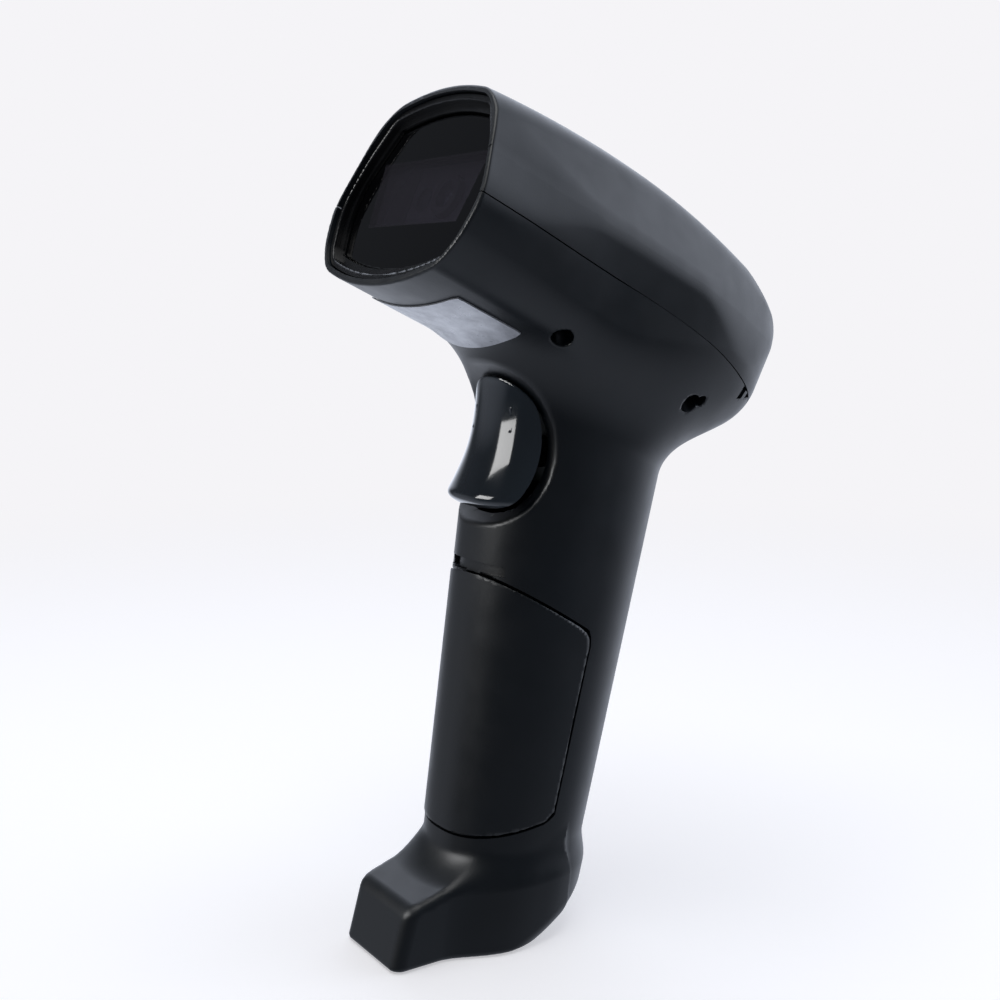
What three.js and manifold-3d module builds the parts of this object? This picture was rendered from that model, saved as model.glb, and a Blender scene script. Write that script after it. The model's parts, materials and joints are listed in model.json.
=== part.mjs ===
// Handheld barcode scanner: a tilted scanning head on a leaning grip that stands on a small foot.
// Millimetres, +Z up. The origin is the middle of the foot's sole, the nose points along -Y, and the
// object is symmetric about the plane X = 0 apart from the strap slots.
//
// Two tilted frames carry most pieces. In the head frame Y is s, backward along the head from its front
// rim, and Z is q, square to it. In the grip frame Y is d, backward through the grip, and Z is v, up it.

import * as THREE from "three";
import { mergeVertices } from "three/addons/utils/BufferGeometryUtils.js";
import Module from "manifold-3d";

const wasm = await Module();
wasm.setup();

// ---------------------------------------------------------------- driving dimensions
const GAP = 0.3; // clearance between neighbouring pieces
const WALL = 2.2; // housing wall
const RIM_WALL = 1.2; // wall of the front rim
const RIM_DEPTH = 5; // how far the thin rim reaches back
const SPAN = 40; // half length of a cutter that has to pass right through

const HEAD = { y: -12.4, z: 135.25, tilt: THREE.MathUtils.degToRad(25) };
const HEAD_HALF = 25.3; // half width at the side crease
const CREASE_Q = 21; // height of the side crease
const ROOF_EDGE = {
  x: 17.8, q: 36.4, s: 38, front: 0.0021, rear: 0.003, crown: 2.4, bow: 0.009, radius: 3.5,
};
const FLOOR = { q: -4.5, bow: 0.0085, frontRadius: 5, rearRadius: 14 };
const SIDE_DRAFT = 0.07; // the sides draw in below the crease
const BARREL = { q: 12, reach: 11, height: 1.9, length: 40 }; // the sides swell toward the front rim
const PLAN = { s: 51.4, length: 40, power: 2.5 }; // rounded rear end, seen from above
const CREASE = { radius: 1.2, front: 5, frontLength: 28, rear: 4, rearStart: 50, rearLength: 26 };
const SEAM = { q: 12.7, s: 38, drop: 0.0018 }; // parting line between top cover and main body

const GRIP = { y: 15.9, z: 22, tilt: THREE.MathUtils.degToRad(11.4) };
const GRIP_SIZE = { half: 15, halfTaper: 0.02, depth: 16.1, depthTaper: 0.061, power: 2.35 };
const NECK = { front: 8.5, rear: 11, from: 20, to: 45 }; // fillet radius between grip and head

const SOLE_Z = 0.3;
const FOOT = {
  half: 10.2, flare: 0.05, front: -17, lean: 0.298, top: 12.35, rise: 0.275, rear: 18,
  edge: 2.5, topEdge: 1.8, fillet: 4, collar: 1.5, collarLow: 13, collarHigh: 20,
};
const HEEL = { y: 12.5, sine: 0.4, radius: 3.5 }; // slope that rises behind the sole

// Two slots with a bar between them at one rear corner of the head, for a wrist strap.
const STRAP = {
  x: 18.2, y: 64.9, turn: THREE.MathUtils.degToRad(26), height: [107.9, 111.3],
  width: 1.8, pitch: 3.2, depth: 3.4,
};

const MOUTH = { y: 0.3, z: 101, radius: 18.2 }; // round trigger opening, seen from the side
const PIN = { y: 19.5, z: 112, radius: 1.2, half: 12.2 };
const TRIGGER_SWING = THREE.MathUtils.degToRad(7);
const TRIGGER = { half: 12.4, curveDepth: 10, power: 2.3, wall: 2.4 };

const DOOR = { top: 50.4, slope: 0.4, rear: 0.5, rearTaper: 0.04, bottom: 3.1, bottomSlope: 0.36 };
const PACK = { half: 10.2, front: -9, back: 6.4, bottom: 4.5, top: 44 };

const SCREWS = [
  { s: 30.5, x: 20.1 },
  { s: 65.8, x: 18.5 },
];
const WELL = { radius: 2.4, wall: 1.8, seat: 5.2, top: 8.7, hole: 1.5 };
const FRAME_PLATE = { bottom: 9, top: 10.5, half: 14.5, front: 9, rear: 84 };
const BOARD = { bottom: 12.8, top: 14.4, half: 14, front: 35, rear: 82 };
const BOARD_POSTS = { x: 11.5, front: 40, rear: 77 };
const ENGINE = { half: 13.5, front: 9, rear: 24, bottom: 10.8, top: 24.8, lensQ: 17.8 };

// ---------------------------------------------------------------- materials
function plastic(color, roughness) {
  return new THREE.MeshStandardMaterial({ color, roughness, metalness: 0 });
}

function metal(color, roughness) {
  return new THREE.MeshStandardMaterial({ color, roughness, metalness: 1 });
}

const HOUSING_BLACK = plastic(0x1b1d21, 0.5);
const BEZEL_BLACK = plastic(0x0c0d0f, 0.3);
const TRIGGER_SLATE = plastic(0x2b3640, 0.15);
const WINDOW_TINT = plastic(0x14100f, 0.05);
const LABEL_SILVER = plastic(0xc9ccd2, 0.4);
const RUBBER = plastic(0x141414, 0.8);
const FRAME_GREY = plastic(0x5a5d61, 0.6);
const BOARD_GREEN = plastic(0x12301f, 0.5);
const CHIP_BLACK = plastic(0x17181a, 0.5);
const PACK_WRAP = plastic(0x3a5c86, 0.45);
const SWITCH_BEIGE = plastic(0xd9d2bd, 0.6);
const CABLE_AMBER = plastic(0xb9742b, 0.4);
const CLEAR = plastic(0xdfe6ea, 0.05);
const LED_WHITE = plastic(0xf2efdf, 0.3);
const STEEL = metal(0xb6babf, 0.3);
const GOLD = metal(0xc9a24a, 0.3);
const BLACK_STEEL = metal(0x3c3e42, 0.35);

// ---------------------------------------------------------------- frames and scene graph
const scanner = new THREE.Group();

function tiltedGroup(frame, tilt) {
  const group = new THREE.Group();
  group.position.set(0, frame.y, frame.z);
  group.rotation.x = tilt;
  group.updateMatrixWorld(true);
  scanner.add(group);
  return group;
}

const headGroup = tiltedGroup(HEAD, -HEAD.tilt);
const gripGroup = tiltedGroup(GRIP, -GRIP.tilt);
const PORT = { y: 22.5, z: (22.5 - HEEL.y) * Math.tan(Math.asin(HEEL.sine)) };
const portGroup = tiltedGroup(PORT, Math.asin(HEEL.sine));
const strapGroup = tiltedGroup({ y: STRAP.y, z: 0 }, 0);
strapGroup.position.x = STRAP.x;
strapGroup.rotation.z = STRAP.turn;
strapGroup.updateMatrixWorld(true);

function local(group, x, y, z) {
  return group.worldToLocal(new THREE.Vector3(x, y, z));
}

function add(group, name, shape, material) {
  const geometry = shape instanceof THREE.BufferGeometry ? shape : toGeometry(shape);
  const mesh = new THREE.Mesh(geometry, material);
  mesh.name = name;
  group.add(mesh);
}

// ---------------------------------------------------------------- solids
function signedVolume(position, index) {
  const corner = [new THREE.Vector3(), new THREE.Vector3(), new THREE.Vector3()];
  let sum = 0;
  for (let i = 0; i < index.length; i += 3) {
    corner.forEach((point, k) => point.fromArray(position, 3 * index[i + k]));
    sum += corner[0].dot(corner[1].clone().cross(corner[2]));
  }
  return sum / 6;
}

function solid(geometry) {
  const bare = geometry.clone();
  bare.deleteAttribute("normal");
  bare.deleteAttribute("uv");
  const merged = mergeVertices(bare, 1e-4);
  const vertProperties = new Float32Array(merged.attributes.position.array);
  const triVerts = new Uint32Array(merged.index.array);
  if (signedVolume(vertProperties, triVerts) < 0) triVerts.reverse();
  return new wasm.Manifold(new wasm.Mesh({ numProp: 3, vertProperties, triVerts }));
}

function toGeometry(body) {
  const mesh = body.getMesh();
  const geometry = new THREE.BufferGeometry();
  geometry.setAttribute("position", new THREE.BufferAttribute(mesh.vertProperties, 3));
  geometry.setIndex(new THREE.BufferAttribute(mesh.triVerts, 1));
  geometry.computeVertexNormals();
  return geometry;
}

function joined(shapes) {
  return shapes.map(asSolid).reduce((sum, shape) => sum.add(shape));
}

function cut(body, shapes) {
  return shapes.map(asSolid).reduce((rest, shape) => rest.subtract(shape), asSolid(body));
}

function asSolid(shape) {
  return shape instanceof THREE.BufferGeometry ? solid(shape) : shape;
}

function inWorld(group, shape) {
  return solid(shape instanceof THREE.BufferGeometry ? shape.clone().applyMatrix4(group.matrixWorld)
    : toGeometry(shape).applyMatrix4(group.matrixWorld));
}

function box([x0, x1], [y0, y1], [z0, z1]) {
  const geometry = new THREE.BoxGeometry(x1 - x0, y1 - y0, z1 - z0);
  return geometry.translate((x0 + x1) / 2, (y0 + y1) / 2, (z0 + z1) / 2);
}

// A cylinder between two heights along Z.
function post(x, y, [z0, z1], radius, sides = 16) {
  const geometry = new THREE.CylinderGeometry(radius, radius, z1 - z0, sides);
  return geometry.rotateX(Math.PI / 2).translate(x, y, (z0 + z1) / 2);
}

// A cylinder along X.
function rod([x0, x1], y, z, radius, sides = 24) {
  const geometry = new THREE.CylinderGeometry(radius, radius, x1 - x0, sides);
  return geometry.rotateZ(Math.PI / 2).translate((x0 + x1) / 2, y, z);
}

// A cylinder along Y.
function barrel(x, [y0, y1], z, radius, sides = 24) {
  return new THREE.CylinderGeometry(radius, radius, y1 - y0, sides).translate(x, (y0 + y1) / 2, z);
}

// An outline of [y, z] corners, swept along X.
function slab(outline, [x0, x1]) {
  const shape = new THREE.Shape(outline.map(([y, z]) => new THREE.Vector2(y, z)));
  const geometry = new THREE.ExtrudeGeometry(shape, { depth: x1 - x0, bevelEnabled: false });
  const toSide = new THREE.Matrix4().makeBasis(
    new THREE.Vector3(0, 1, 0), new THREE.Vector3(0, 0, 1), new THREE.Vector3(1, 0, 0));
  return geometry.applyMatrix4(toSide).translate(x0, 0, 0);
}

// Rings of equal length joined into a skin, each end closed to one point.
function loft(rings, firstPole, lastPole) {
  const count = rings[0].length;
  const points = [firstPole, ...rings.flat(), lastPole];
  const at = (ring, k) => 1 + ring * count + (k % count);
  const faces = [];
  for (let k = 0; k < count; k += 1) {
    faces.push(0, at(0, k + 1), at(0, k));
    for (let ring = 0; ring + 1 < rings.length; ring += 1) {
      faces.push(at(ring, k), at(ring, k + 1), at(ring + 1, k + 1));
      faces.push(at(ring, k), at(ring + 1, k + 1), at(ring + 1, k));
    }
    faces.push(points.length - 1, at(rings.length - 1, k), at(rings.length - 1, k + 1));
  }
  const geometry = new THREE.BufferGeometry();
  geometry.setAttribute("position", new THREE.Float32BufferAttribute(points.flatMap((p) => p.toArray()), 3));
  geometry.setIndex(faces);
  return solid(geometry);
}

// ---------------------------------------------------------------- outer form, as distance functions
function roundUnion(a, b, radius) {
  const corner = Math.hypot(Math.max(radius - a, 0), Math.max(radius - b, 0));
  return Math.max(radius, Math.min(a, b)) - corner;
}

function roundInside(a, b, radius) {
  const corner = Math.hypot(Math.max(radius + a, 0), Math.max(radius + b, 0));
  return Math.min(-radius, Math.max(a, b)) + corner;
}

function superellipse(u, v, power) {
  return (Math.abs(u) ** power + Math.abs(v) ** power) ** (1 / power);
}

function roofEdgeQ(s) {
  const bend = s < ROOF_EDGE.s ? ROOF_EDGE.front : ROOF_EDGE.rear;
  return ROOF_EDGE.q - bend * (s - ROOF_EDGE.s) ** 2;
}

function barrelSwell(s, q) {
  const fade = 1 - THREE.MathUtils.smoothstep(s, 0, BARREL.length);
  return BARREL.height * fade * Math.max(1 - ((q - BARREL.q) / BARREL.reach) ** 2, 0) ** 2;
}

// The side crease is soft at the rim, crisp along the middle and round at the rear.
function creaseRadius(s) {
  const front = 1 - THREE.MathUtils.smoothstep(s, 0, CREASE.frontLength);
  const rear = THREE.MathUtils.smoothstep(s, CREASE.rearStart, CREASE.rearStart + CREASE.rearLength);
  return CREASE.radius + (CREASE.front - CREASE.radius) * front + (CREASE.rear - CREASE.radius) * rear;
}

function headDistance(x, s, q) {
  const side = Math.abs(x);
  const drafted = side + SIDE_DRAFT * Math.max(CREASE_Q - q, 0) - barrelSwell(s, q);
  const rear = Math.max(s - PLAN.s, 0) / PLAN.length;
  const plan = (superellipse(drafted / HEAD_HALF, rear, PLAN.power) - 1) * HEAD_HALF;
  const edge = roofEdgeQ(s);
  const top = q - (edge + ROOF_EDGE.crown - ROOF_EDGE.bow * side ** 2);
  const rise = edge - CREASE_Q;
  const run = HEAD_HALF - ROOF_EDGE.x;
  const chamfer = ((side - HEAD_HALF) * rise + (q - CREASE_Q) * run) / Math.hypot(rise, run);
  const roof = roundInside(top, chamfer, ROOF_EDGE.radius);
  const floor = FLOOR.q + FLOOR.bow * side ** 2 - q;
  const floorBlend = THREE.MathUtils.smoothstep(s, 40, 75);
  const floorRadius = THREE.MathUtils.lerp(FLOOR.frontRadius, FLOOR.rearRadius, floorBlend);
  return roundInside(roundInside(plan, floor, floorRadius), roof, creaseRadius(s));
}

function gripDistance(x, d, v, grow = 0) {
  const half = GRIP_SIZE.half + GRIP_SIZE.halfTaper * v + grow;
  const depth = GRIP_SIZE.depth + GRIP_SIZE.depthTaper * v + grow;
  return (superellipse(x / half, d / depth, GRIP_SIZE.power) - 1) * Math.min(half, depth);
}

function footDistance(x, y, z) {
  const side = Math.abs(x) - (FOOT.half + FOOT.flare * (y + 16));
  const front = -(y - FOOT.front - FOOT.lean * z) * 0.96;
  const top = (z - FOOT.top - FOOT.rise * (y + 13)) * 0.96;
  const block = roundInside(roundInside(side, front, FOOT.edge), top, FOOT.topEdge);
  const swell = FOOT.collar * (1 - THREE.MathUtils.smoothstep(z, FOOT.collarLow, FOOT.collarHigh));
  const at = local(gripGroup, x, y, z);
  const collar = gripDistance(at.x, at.y, at.z, swell);
  const foot = roundUnion(Math.max(block, y - FOOT.rear), Math.max(collar, z - 25), FOOT.fillet);
  const heel = HEEL.sine * (y - HEEL.y) - Math.sqrt(1 - HEEL.sine ** 2) * z;
  return roundInside(foot, heel, HEEL.radius);
}

function bodyDistance(x, y, z) {
  const head = local(headGroup, x, y, z);
  const grip = local(gripGroup, x, y, z);
  const stem = Math.max(gripDistance(grip.x, grip.y, grip.z), -grip.z - 3, head.z - 20);
  const backward = THREE.MathUtils.smoothstep(head.y, NECK.from, NECK.to);
  const neck = THREE.MathUtils.lerp(NECK.front, NECK.rear, backward);
  const upper = roundUnion(Math.max(headDistance(head.x, head.y, head.z), -head.y), stem, neck);
  return Math.min(upper, footDistance(x, y, z));
}

// How far a ray runs from a point inside the form to its skin.
function reach(distance, from, direction, inset, limit) {
  const probe = (t) => distance(...from.clone().addScaledVector(direction, t).toArray()) + inset;
  let far = 1;
  while (far < limit && probe(far) < 0) far += 1;
  if (far >= limit) return limit;
  let near = far - 1;
  for (let pass = 0; pass < 24; pass += 1) {
    const middle = (near + far) / 2;
    if (probe(middle) < 0) near = middle;
    else far = middle;
  }
  return near;
}

// ---------------------------------------------------------------- head
const HEAD_CENTRE_Q = 14;
const HEAD_FAN_S = 54;
const HEAD_RAYS = [-90, -68, -52, -42, -34, -26, -17, -8, 1, 9, 15.5, 21, 29, 39];

function headAngles(s) {
  const edge = THREE.MathUtils.radToDeg(Math.atan2(roofEdgeQ(s) - HEAD_CENTRE_Q, ROOF_EDGE.x));
  const right = [...HEAD_RAYS, edge, (edge + 90) / 2];
  const left = right.slice(1).reverse();
  return [...right, 90, ...left.map((angle) => 180 - angle)];
}

// The head's form shrunk by an inset, from a front face at s = front, in the head frame.
function headForm(inset, front) {
  const sections = [0, 13, 26, 38, 47].map((s) => ({ s: Math.max(s, front), fan: 0 }));
  const first = sections.findLastIndex((section) => section.s === front);
  const fans = [0, 14, 28, 42, 55, 67, 78].map((fan) => ({ s: HEAD_FAN_S, fan }));
  const rings = [...sections.slice(Math.max(first, 0)), ...fans].map(({ s, fan }) => {
    const centre = new THREE.Vector3(0, s, HEAD_CENTRE_Q);
    const back = THREE.MathUtils.degToRad(fan);
    return headAngles(s).map((degrees) => {
      const angle = THREE.MathUtils.degToRad(degrees);
      const ray = new THREE.Vector3(Math.cos(angle) * Math.cos(back), Math.sin(back),
        Math.sin(angle) * Math.cos(back));
      return centre.clone().addScaledVector(ray, reach(headDistance, centre, ray, inset, 90));
    });
  });
  const fanCentre = new THREE.Vector3(0, HEAD_FAN_S, HEAD_CENTRE_Q);
  const straightBack = new THREE.Vector3(0, 1, 0);
  const tail = fanCentre.clone().addScaledVector(straightBack,
    reach(headDistance, fanCentre, straightBack, inset, 90));
  return loft(rings, new THREE.Vector3(0, front, HEAD_CENTRE_Q), tail);
}

// The front section as a short straight piece, for the rim and its bezel, in the head frame.
function rimForm(inset, [front, rear]) {
  const ring = (s) => headAngles(0).map((degrees) => {
    const angle = THREE.MathUtils.degToRad(degrees);
    const ray = new THREE.Vector3(Math.cos(angle), 0, Math.sin(angle));
    const centre = new THREE.Vector3(0, 0, HEAD_CENTRE_Q);
    return centre.addScaledVector(ray, reach(headDistance, centre, ray, inset, 90)).setY(s);
  });
  const pole = (s) => new THREE.Vector3(0, s, HEAD_CENTRE_Q);
  return loft([ring(front), ring(rear)], pole(front), pole(rear));
}

function seamQ(s) {
  return SEAM.q - SEAM.drop * Math.max(s - SEAM.s, 0) ** 2;
}

// Everything above or below the parting line, with half the gap taken off.
function seamSide(above) {
  const offset = above ? GAP / 2 : -GAP / 2;
  const line = [-10, SEAM.s, 50, 62, 74, 100].map((s) => [s, seamQ(s) + offset]);
  const far = above ? 60 : -140;
  return slab([...line, [100, far], [-10, far]], [-SPAN, SPAN]);
}

function screwPlaces() {
  return SCREWS.flatMap(({ s, x }) => [{ s, x }, { s, x: -x }]);
}

const headSkin = headForm(0, 0);
const headHollow = headForm(WALL, RIM_DEPTH).add(rimForm(RIM_WALL, [-5, RIM_DEPTH + 0.5]));
const headClear = headForm(WALL + GAP, RIM_DEPTH + GAP);

function buildTopCover() {
  const above = solid(seamSide(true));
  const shell = headSkin.subtract(headHollow).intersect(above);
  const bosses = screwPlaces().map(({ s, x }) => {
    const low = FRAME_PLATE.top + GAP;
    const lower = solid(post(x, s, [low, SEAM.q + 0.4], 3.3)).intersect(headClear);
    const upper = solid(post(x, s, [SEAM.q + 0.2, 45], 3.3)).intersect(headForm(1, 1));
    return lower.add(upper).subtract(solid(post(x, s, [low - 1, 23], WELL.hole)));
  });
  const lampHole = post(0, STATUS.s, [20, 45], STATUS.radius + GAP);
  return cut(joined([shell, ...bosses]), [lampHole]);
}

// ---------------------------------------------------------------- grip and foot
const GRIP_RAYS = 28;

function bodyStations() {
  const foot = [SOLE_Z, 2, 5, 9, 12, 13.5, 15.5, 18, 20.5, 24].map((z) => ({
    centre: new THREE.Vector3(0, THREE.MathUtils.lerp(4, 16.3, z / 24), z), tilt: 0, most: 60,
  }));
  const neck = 70.7;
  const bare = [16, 44, 62, neck, 76, 80, 83, 85.4, 87.4].map((v) => ({ v, most: 60 }));
  const buried = [[89.2, 8], [90.7, 6.5], [92.2, 5], [97, -1]].map(([v, most]) => ({ v, most }));
  const upper = [...bare, ...buried].map(({ v, most }) => ({
    centre: gripGroup.localToWorld(new THREE.Vector3(0, 0, v)),
    tilt: HEAD.tilt * Math.min((v - 2) / (neck - 2), 1),
    most,
  }));
  return [...foot, ...upper];
}

// Grip, neck fillet and foot in one skin. Its top rings stay within the head, at most so far from the grip.
function bodyForm() {
  const stations = bodyStations();
  const stem = (x, y, z) => gripDistance(...local(gripGroup, x, y, z).toArray());
  const rings = stations.map(({ centre, tilt, most }) => {
    return Array.from({ length: GRIP_RAYS }, (_, k) => {
      const angle = (2 * Math.PI * k) / GRIP_RAYS;
      const along = Math.sin(angle);
      const ray = new THREE.Vector3(Math.cos(angle), along * Math.cos(tilt), -along * Math.sin(tilt));
      const toSkin = reach(bodyDistance, centre, ray, 0, 60);
      const toLimit = reach(stem, centre, ray, -most, 60);
      return centre.clone().addScaledVector(ray, Math.min(toSkin, toLimit));
    });
  });
  return loft(rings, stations[0].centre, stations[stations.length - 1].centre);
}

// The straight grip shrunk by an inset, in the grip frame.
function gripForm(inset, [low, high]) {
  const ring = (v) => Array.from({ length: GRIP_RAYS }, (_, k) => {
    const angle = (2 * Math.PI * k) / GRIP_RAYS;
    const centre = new THREE.Vector3(0, 0, v);
    const ray = new THREE.Vector3(Math.cos(angle), Math.sin(angle), 0);
    return centre.clone().addScaledVector(ray, reach(gripDistance, centre, ray, inset, 60));
  });
  return loft([ring(low), ring(high)], new THREE.Vector3(0, 0, low), new THREE.Vector3(0, 0, high));
}

// Side outline of the battery door in the grip frame, grown or shrunk by an offset.
function doorOutline(offset) {
  const topAt = (d) => DOOR.top - DOOR.slope * (d + 19) + offset;
  const bottomAt = (d) => DOOR.bottom + DOOR.bottomSlope * (d + 1.3) - offset;
  const rearAt = (v) => DOOR.rear + DOOR.rearTaper * v + offset;
  return [
    [-30, bottomAt(-30)],
    [-1.3, bottomAt(-1.3)],
    [rearAt(4.5) - 1, 4 - offset],
    [rearAt(5), 5 - offset],
    [rearAt(39.5), 39.5],
    [rearAt(42) - 1, 42 + offset],
    [-1.6, topAt(-1.6)],
    [-30, topAt(-30)],
  ];
}

function buildBatteryDoor() {
  const shell = gripForm(-0.25, [-12, 60]).subtract(gripForm(WALL, [-13, 61]));
  return shell.intersect(solid(slab(doorOutline(-GAP / 2), [-SPAN, SPAN])));
}

function bayWalls() {
  const loose = gripForm(WALL + GAP, [-2, 100]);
  const rooted = gripForm(1, [-2, 100]).intersect(solid(box([-SPAN, SPAN], [3, 40], [-2, 100])));
  const room = loose.add(rooted);
  const rear = box([-16, 16], [PACK.back + 0.6, PACK.back + 2.1], [0, 48.2]);
  const top = box([-16, 16], [-30, PACK.back + 1], [46.7, 48.2]);
  return joined([rear, top]).intersect(room);
}

function soleOutline(inset) {
  const half = (y) => FOOT.half + FOOT.flare * (y + 16) - inset;
  const front = FOOT.front + inset;
  const rear = HEEL.y - inset;
  const corner = 2;
  return [
    [-half(front) + corner, front], [half(front) - corner, front], [half(front), front + corner],
    [half(rear), rear - corner], [half(rear) - corner, rear], [-half(rear) + corner, rear],
    [-half(rear), rear - corner], [-half(front), front + corner],
  ];
}

function soleSlab(inset, [low, high]) {
  const shape = new THREE.Shape(soleOutline(inset).map(([x, y]) => new THREE.Vector2(x, y)));
  const depth = high - low;
  return new THREE.ExtrudeGeometry(shape, { depth, bevelEnabled: false }).translate(0, 0, low);
}

function buildMainBody() {
  const below = inWorld(headGroup, seamSide(false));
  const skin = inWorld(headGroup, headSkin).add(bodyForm());
  const gripHollow = inWorld(gripGroup, gripForm(WALL, [2.5, 97]));
  const footRoom = [
    box([-6.8, 6.8], [-11.5, 16], [3.4, 10.5]),
    box([-8, 8], [9, 20.5], [9.5, 17.5]),
  ];
  const channel = inWorld(gripGroup, box([-4, 4], [9.4, 12.6], [-8, 4]));
  const wells = screwPlaces().map(({ s, x }) => {
    const tube = solid(post(x, s, [-8, WELL.top], WELL.radius + WELL.wall)).intersect(headForm(0.5, 1));
    return inWorld(headGroup, tube);
  });
  const hollow = cut(skin, [inWorld(headGroup, headHollow), gripHollow, ...footRoom, channel]);
  const fitted = joined([hollow, ...wells, inWorld(gripGroup, bayWalls()), ...gripRibs()]);
  return cut(fitted.intersect(below), [
    ...screwPlaces().flatMap(wellCuts),
    ...strapSlots(),
    inWorld(gripGroup, slab(doorOutline(GAP / 2), [-SPAN, SPAN])).intersect(doorReach()),
    fingerNotch(),
    rod([-SPAN, SPAN], MOUTH.y, MOUTH.z, MOUTH.radius, 48),
    rod([-PIN.half - GAP, PIN.half + GAP], PIN.y, PIN.z, PIN.radius + GAP, 16),
    inWorld(portGroup, box([-5.2, 5.2], [-2.3, 2.3], [-8, 7.6])),
    soleSlab(1.6, [-1, 1.8]),
  ]);
}

// The door only opens the wall, so its cutter stops short of the bay behind it.
function doorReach() {
  const wall = gripForm(-3, [-14, 62]).subtract(gripForm(WALL + 0.1, [-15, 63]));
  return inWorld(gripGroup, wall);
}

function wellCuts({ s, x }) {
  const shapes = [
    post(x, s, [-14, WELL.seat], WELL.radius),
    post(x, s, [WELL.seat - 1, WELL.top + 2], WELL.hole),
  ];
  if (s > 50) shapes.push(post(x - Math.sign(x) * 0.2, s + 4.4, [-14, 1.5], 1.3));
  return shapes.map((shape) => inWorld(headGroup, shape));
}

function strapSlots() {
  const { depth, width, pitch } = STRAP;
  return [-1, 1].map((side) => {
    const middle = (side * pitch) / 2;
    return inWorld(strapGroup, box([-depth, 6], [middle - width / 2, middle + width / 2], STRAP.height));
  });
}

function fingerNotch() {
  const span = inWorld(gripGroup, box([-9.2, 9.2], [-30, -10], [50.6, 52.6]));
  return span.subtract(inWorld(gripGroup, gripForm(1.1, [46, 58])));
}

// Ribs inside the grip: a seat for the return spring and two rails behind the trigger board.
function gripRibs() {
  const room = inWorld(gripGroup, gripForm(1, [2.5, 97]));
  const ribs = [box([-16, 16], [20, 21.5], [88, 94.5])];
  for (const side of [-1, 1]) {
    const inner = side * 6.5;
    const outer = side * 17;
    ribs.push(box([Math.min(inner, outer), Math.max(inner, outer)], [26.7, 28.2], [91, 109]));
  }
  return ribs.map((rib) => solid(rib).intersect(room));
}

// ---------------------------------------------------------------- trigger
// Front line of the paddle, from the root down to the lip and back under it, as [y, z].
const TRIGGER_FRONT = new THREE.CatmullRomCurve3([
  [10.9, 116.6], [12.6, 112.6], [12.6, 108], [11.7, 102.7], [10.2, 98.2], [8.3, 94.5], [6.5, 91.6], [5.8, 90.3],
].map(([y, z]) => new THREE.Vector3(0, y, z)));
const TRIGGER_LIP = [[6, 89.3], [7.5, 88.3], [9.3, 87.4]];

function triggerRing(y, z, inset) {
  const half = TRIGGER.half - inset;
  const front = y + inset;
  const steps = 7;
  const points = [];
  for (let k = -steps; k <= steps; k += 1) {
    const side = Math.sin((k / steps) * (Math.PI / 2));
    const depth = 1 - (1 - Math.abs(side) ** TRIGGER.power) ** (1 / TRIGGER.power);
    points.push(new THREE.Vector3(side * half, front + depth * TRIGGER.curveDepth, z));
  }
  points.push(new THREE.Vector3(half, 30, z), new THREE.Vector3(-half, 30, z));
  return points;
}

function triggerForm(inset) {
  const line = TRIGGER_FRONT.getSpacedPoints(9).map((point) => [point.y, point.z]);
  const profile = [...line, ...TRIGGER_LIP];
  const rings = profile.map(([y, z]) => triggerRing(y, z, inset));
  const poles = [profile[0][1], profile[profile.length - 1][1]].map((z) => new THREE.Vector3(0, 20, z));
  return loft(rings, ...poles);
}

// The opening as the paddle meets it at rest: turned forward about the pin.
function restMouth() {
  const y = MOUTH.y - PIN.y;
  const z = MOUTH.z - PIN.z;
  const cos = Math.cos(TRIGGER_SWING);
  const sin = Math.sin(TRIGGER_SWING);
  return { y: PIN.y + y * cos + z * sin, z: PIN.z - y * sin + z * cos };
}

function buildTrigger() {
  const radius = MOUTH.radius - 0.45;
  const rest = restMouth();
  const inMouth = [MOUTH, rest].map(({ y, z }) => solid(rod([-SPAN, SPAN], y, z, radius, 48)));
  const bowl = triggerForm(0).intersect(inMouth[0]).intersect(inMouth[1]);
  const floor = solid(box([-20, 20], [0, 40], [90.5, 130]));
  const shell = bowl.subtract(triggerForm(TRIGGER.wall).intersect(floor));
  const lug = [[12.6, 103], [15.4, 107.8], [16.5, 110.5], [16.7, 113], [18, 114.7], [20.4, 115],
    [22.3, 113], [22.2, 110.6], [19, 106.5], [14.5, 100.5]];
  const lugs = [[-6.6, -4.6], [4.6, 6.6]].map((span) => solid(slab(lug, span)));
  const web = solid(box([-6, 6], [13.2, 15.2], [103.4, 107.6]));
  const pusher = solid(box([-1.5, 1.5], [10.4, 18], [97, 99]));
  const seat = solid(box([-4, 4], [8, 13], [90.2, 91.6])).add(solid(box([-4, 4], [11.4, 13], [90.2, 95.2])));
  const inside = triggerForm(1);
  const extras = joined([web, pusher, seat]).intersect(inside.add(solid(box([-9, 9], [14, 40], [86, 120]))));
  return cut(joined([shell, ...lugs, extras]), [rod([-9, 9], PIN.y, PIN.z, PIN.radius + GAP, 16)]);
}

function buildTriggerSpring() {
  const turns = 4;
  const coil = 2;
  const path = new THREE.CatmullRomCurve3(Array.from({ length: turns * 10 + 1 }, (_, k) => {
    const angle = (2 * Math.PI * k) / 10;
    const y = 13.7 + (5.6 * k) / (turns * 10);
    return new THREE.Vector3(coil * Math.cos(angle), y, 92.6 + coil * Math.sin(angle));
  }));
  const wire = new THREE.Shape();
  wire.absarc(0, 0, 0.3, 0, 2 * Math.PI);
  return new THREE.ExtrudeGeometry(wire, { steps: turns * 12, curveSegments: 3, extrudePath: path });
}

// ---------------------------------------------------------------- small pieces
const STATUS = { s: 64, radius: 2.2 };

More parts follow.
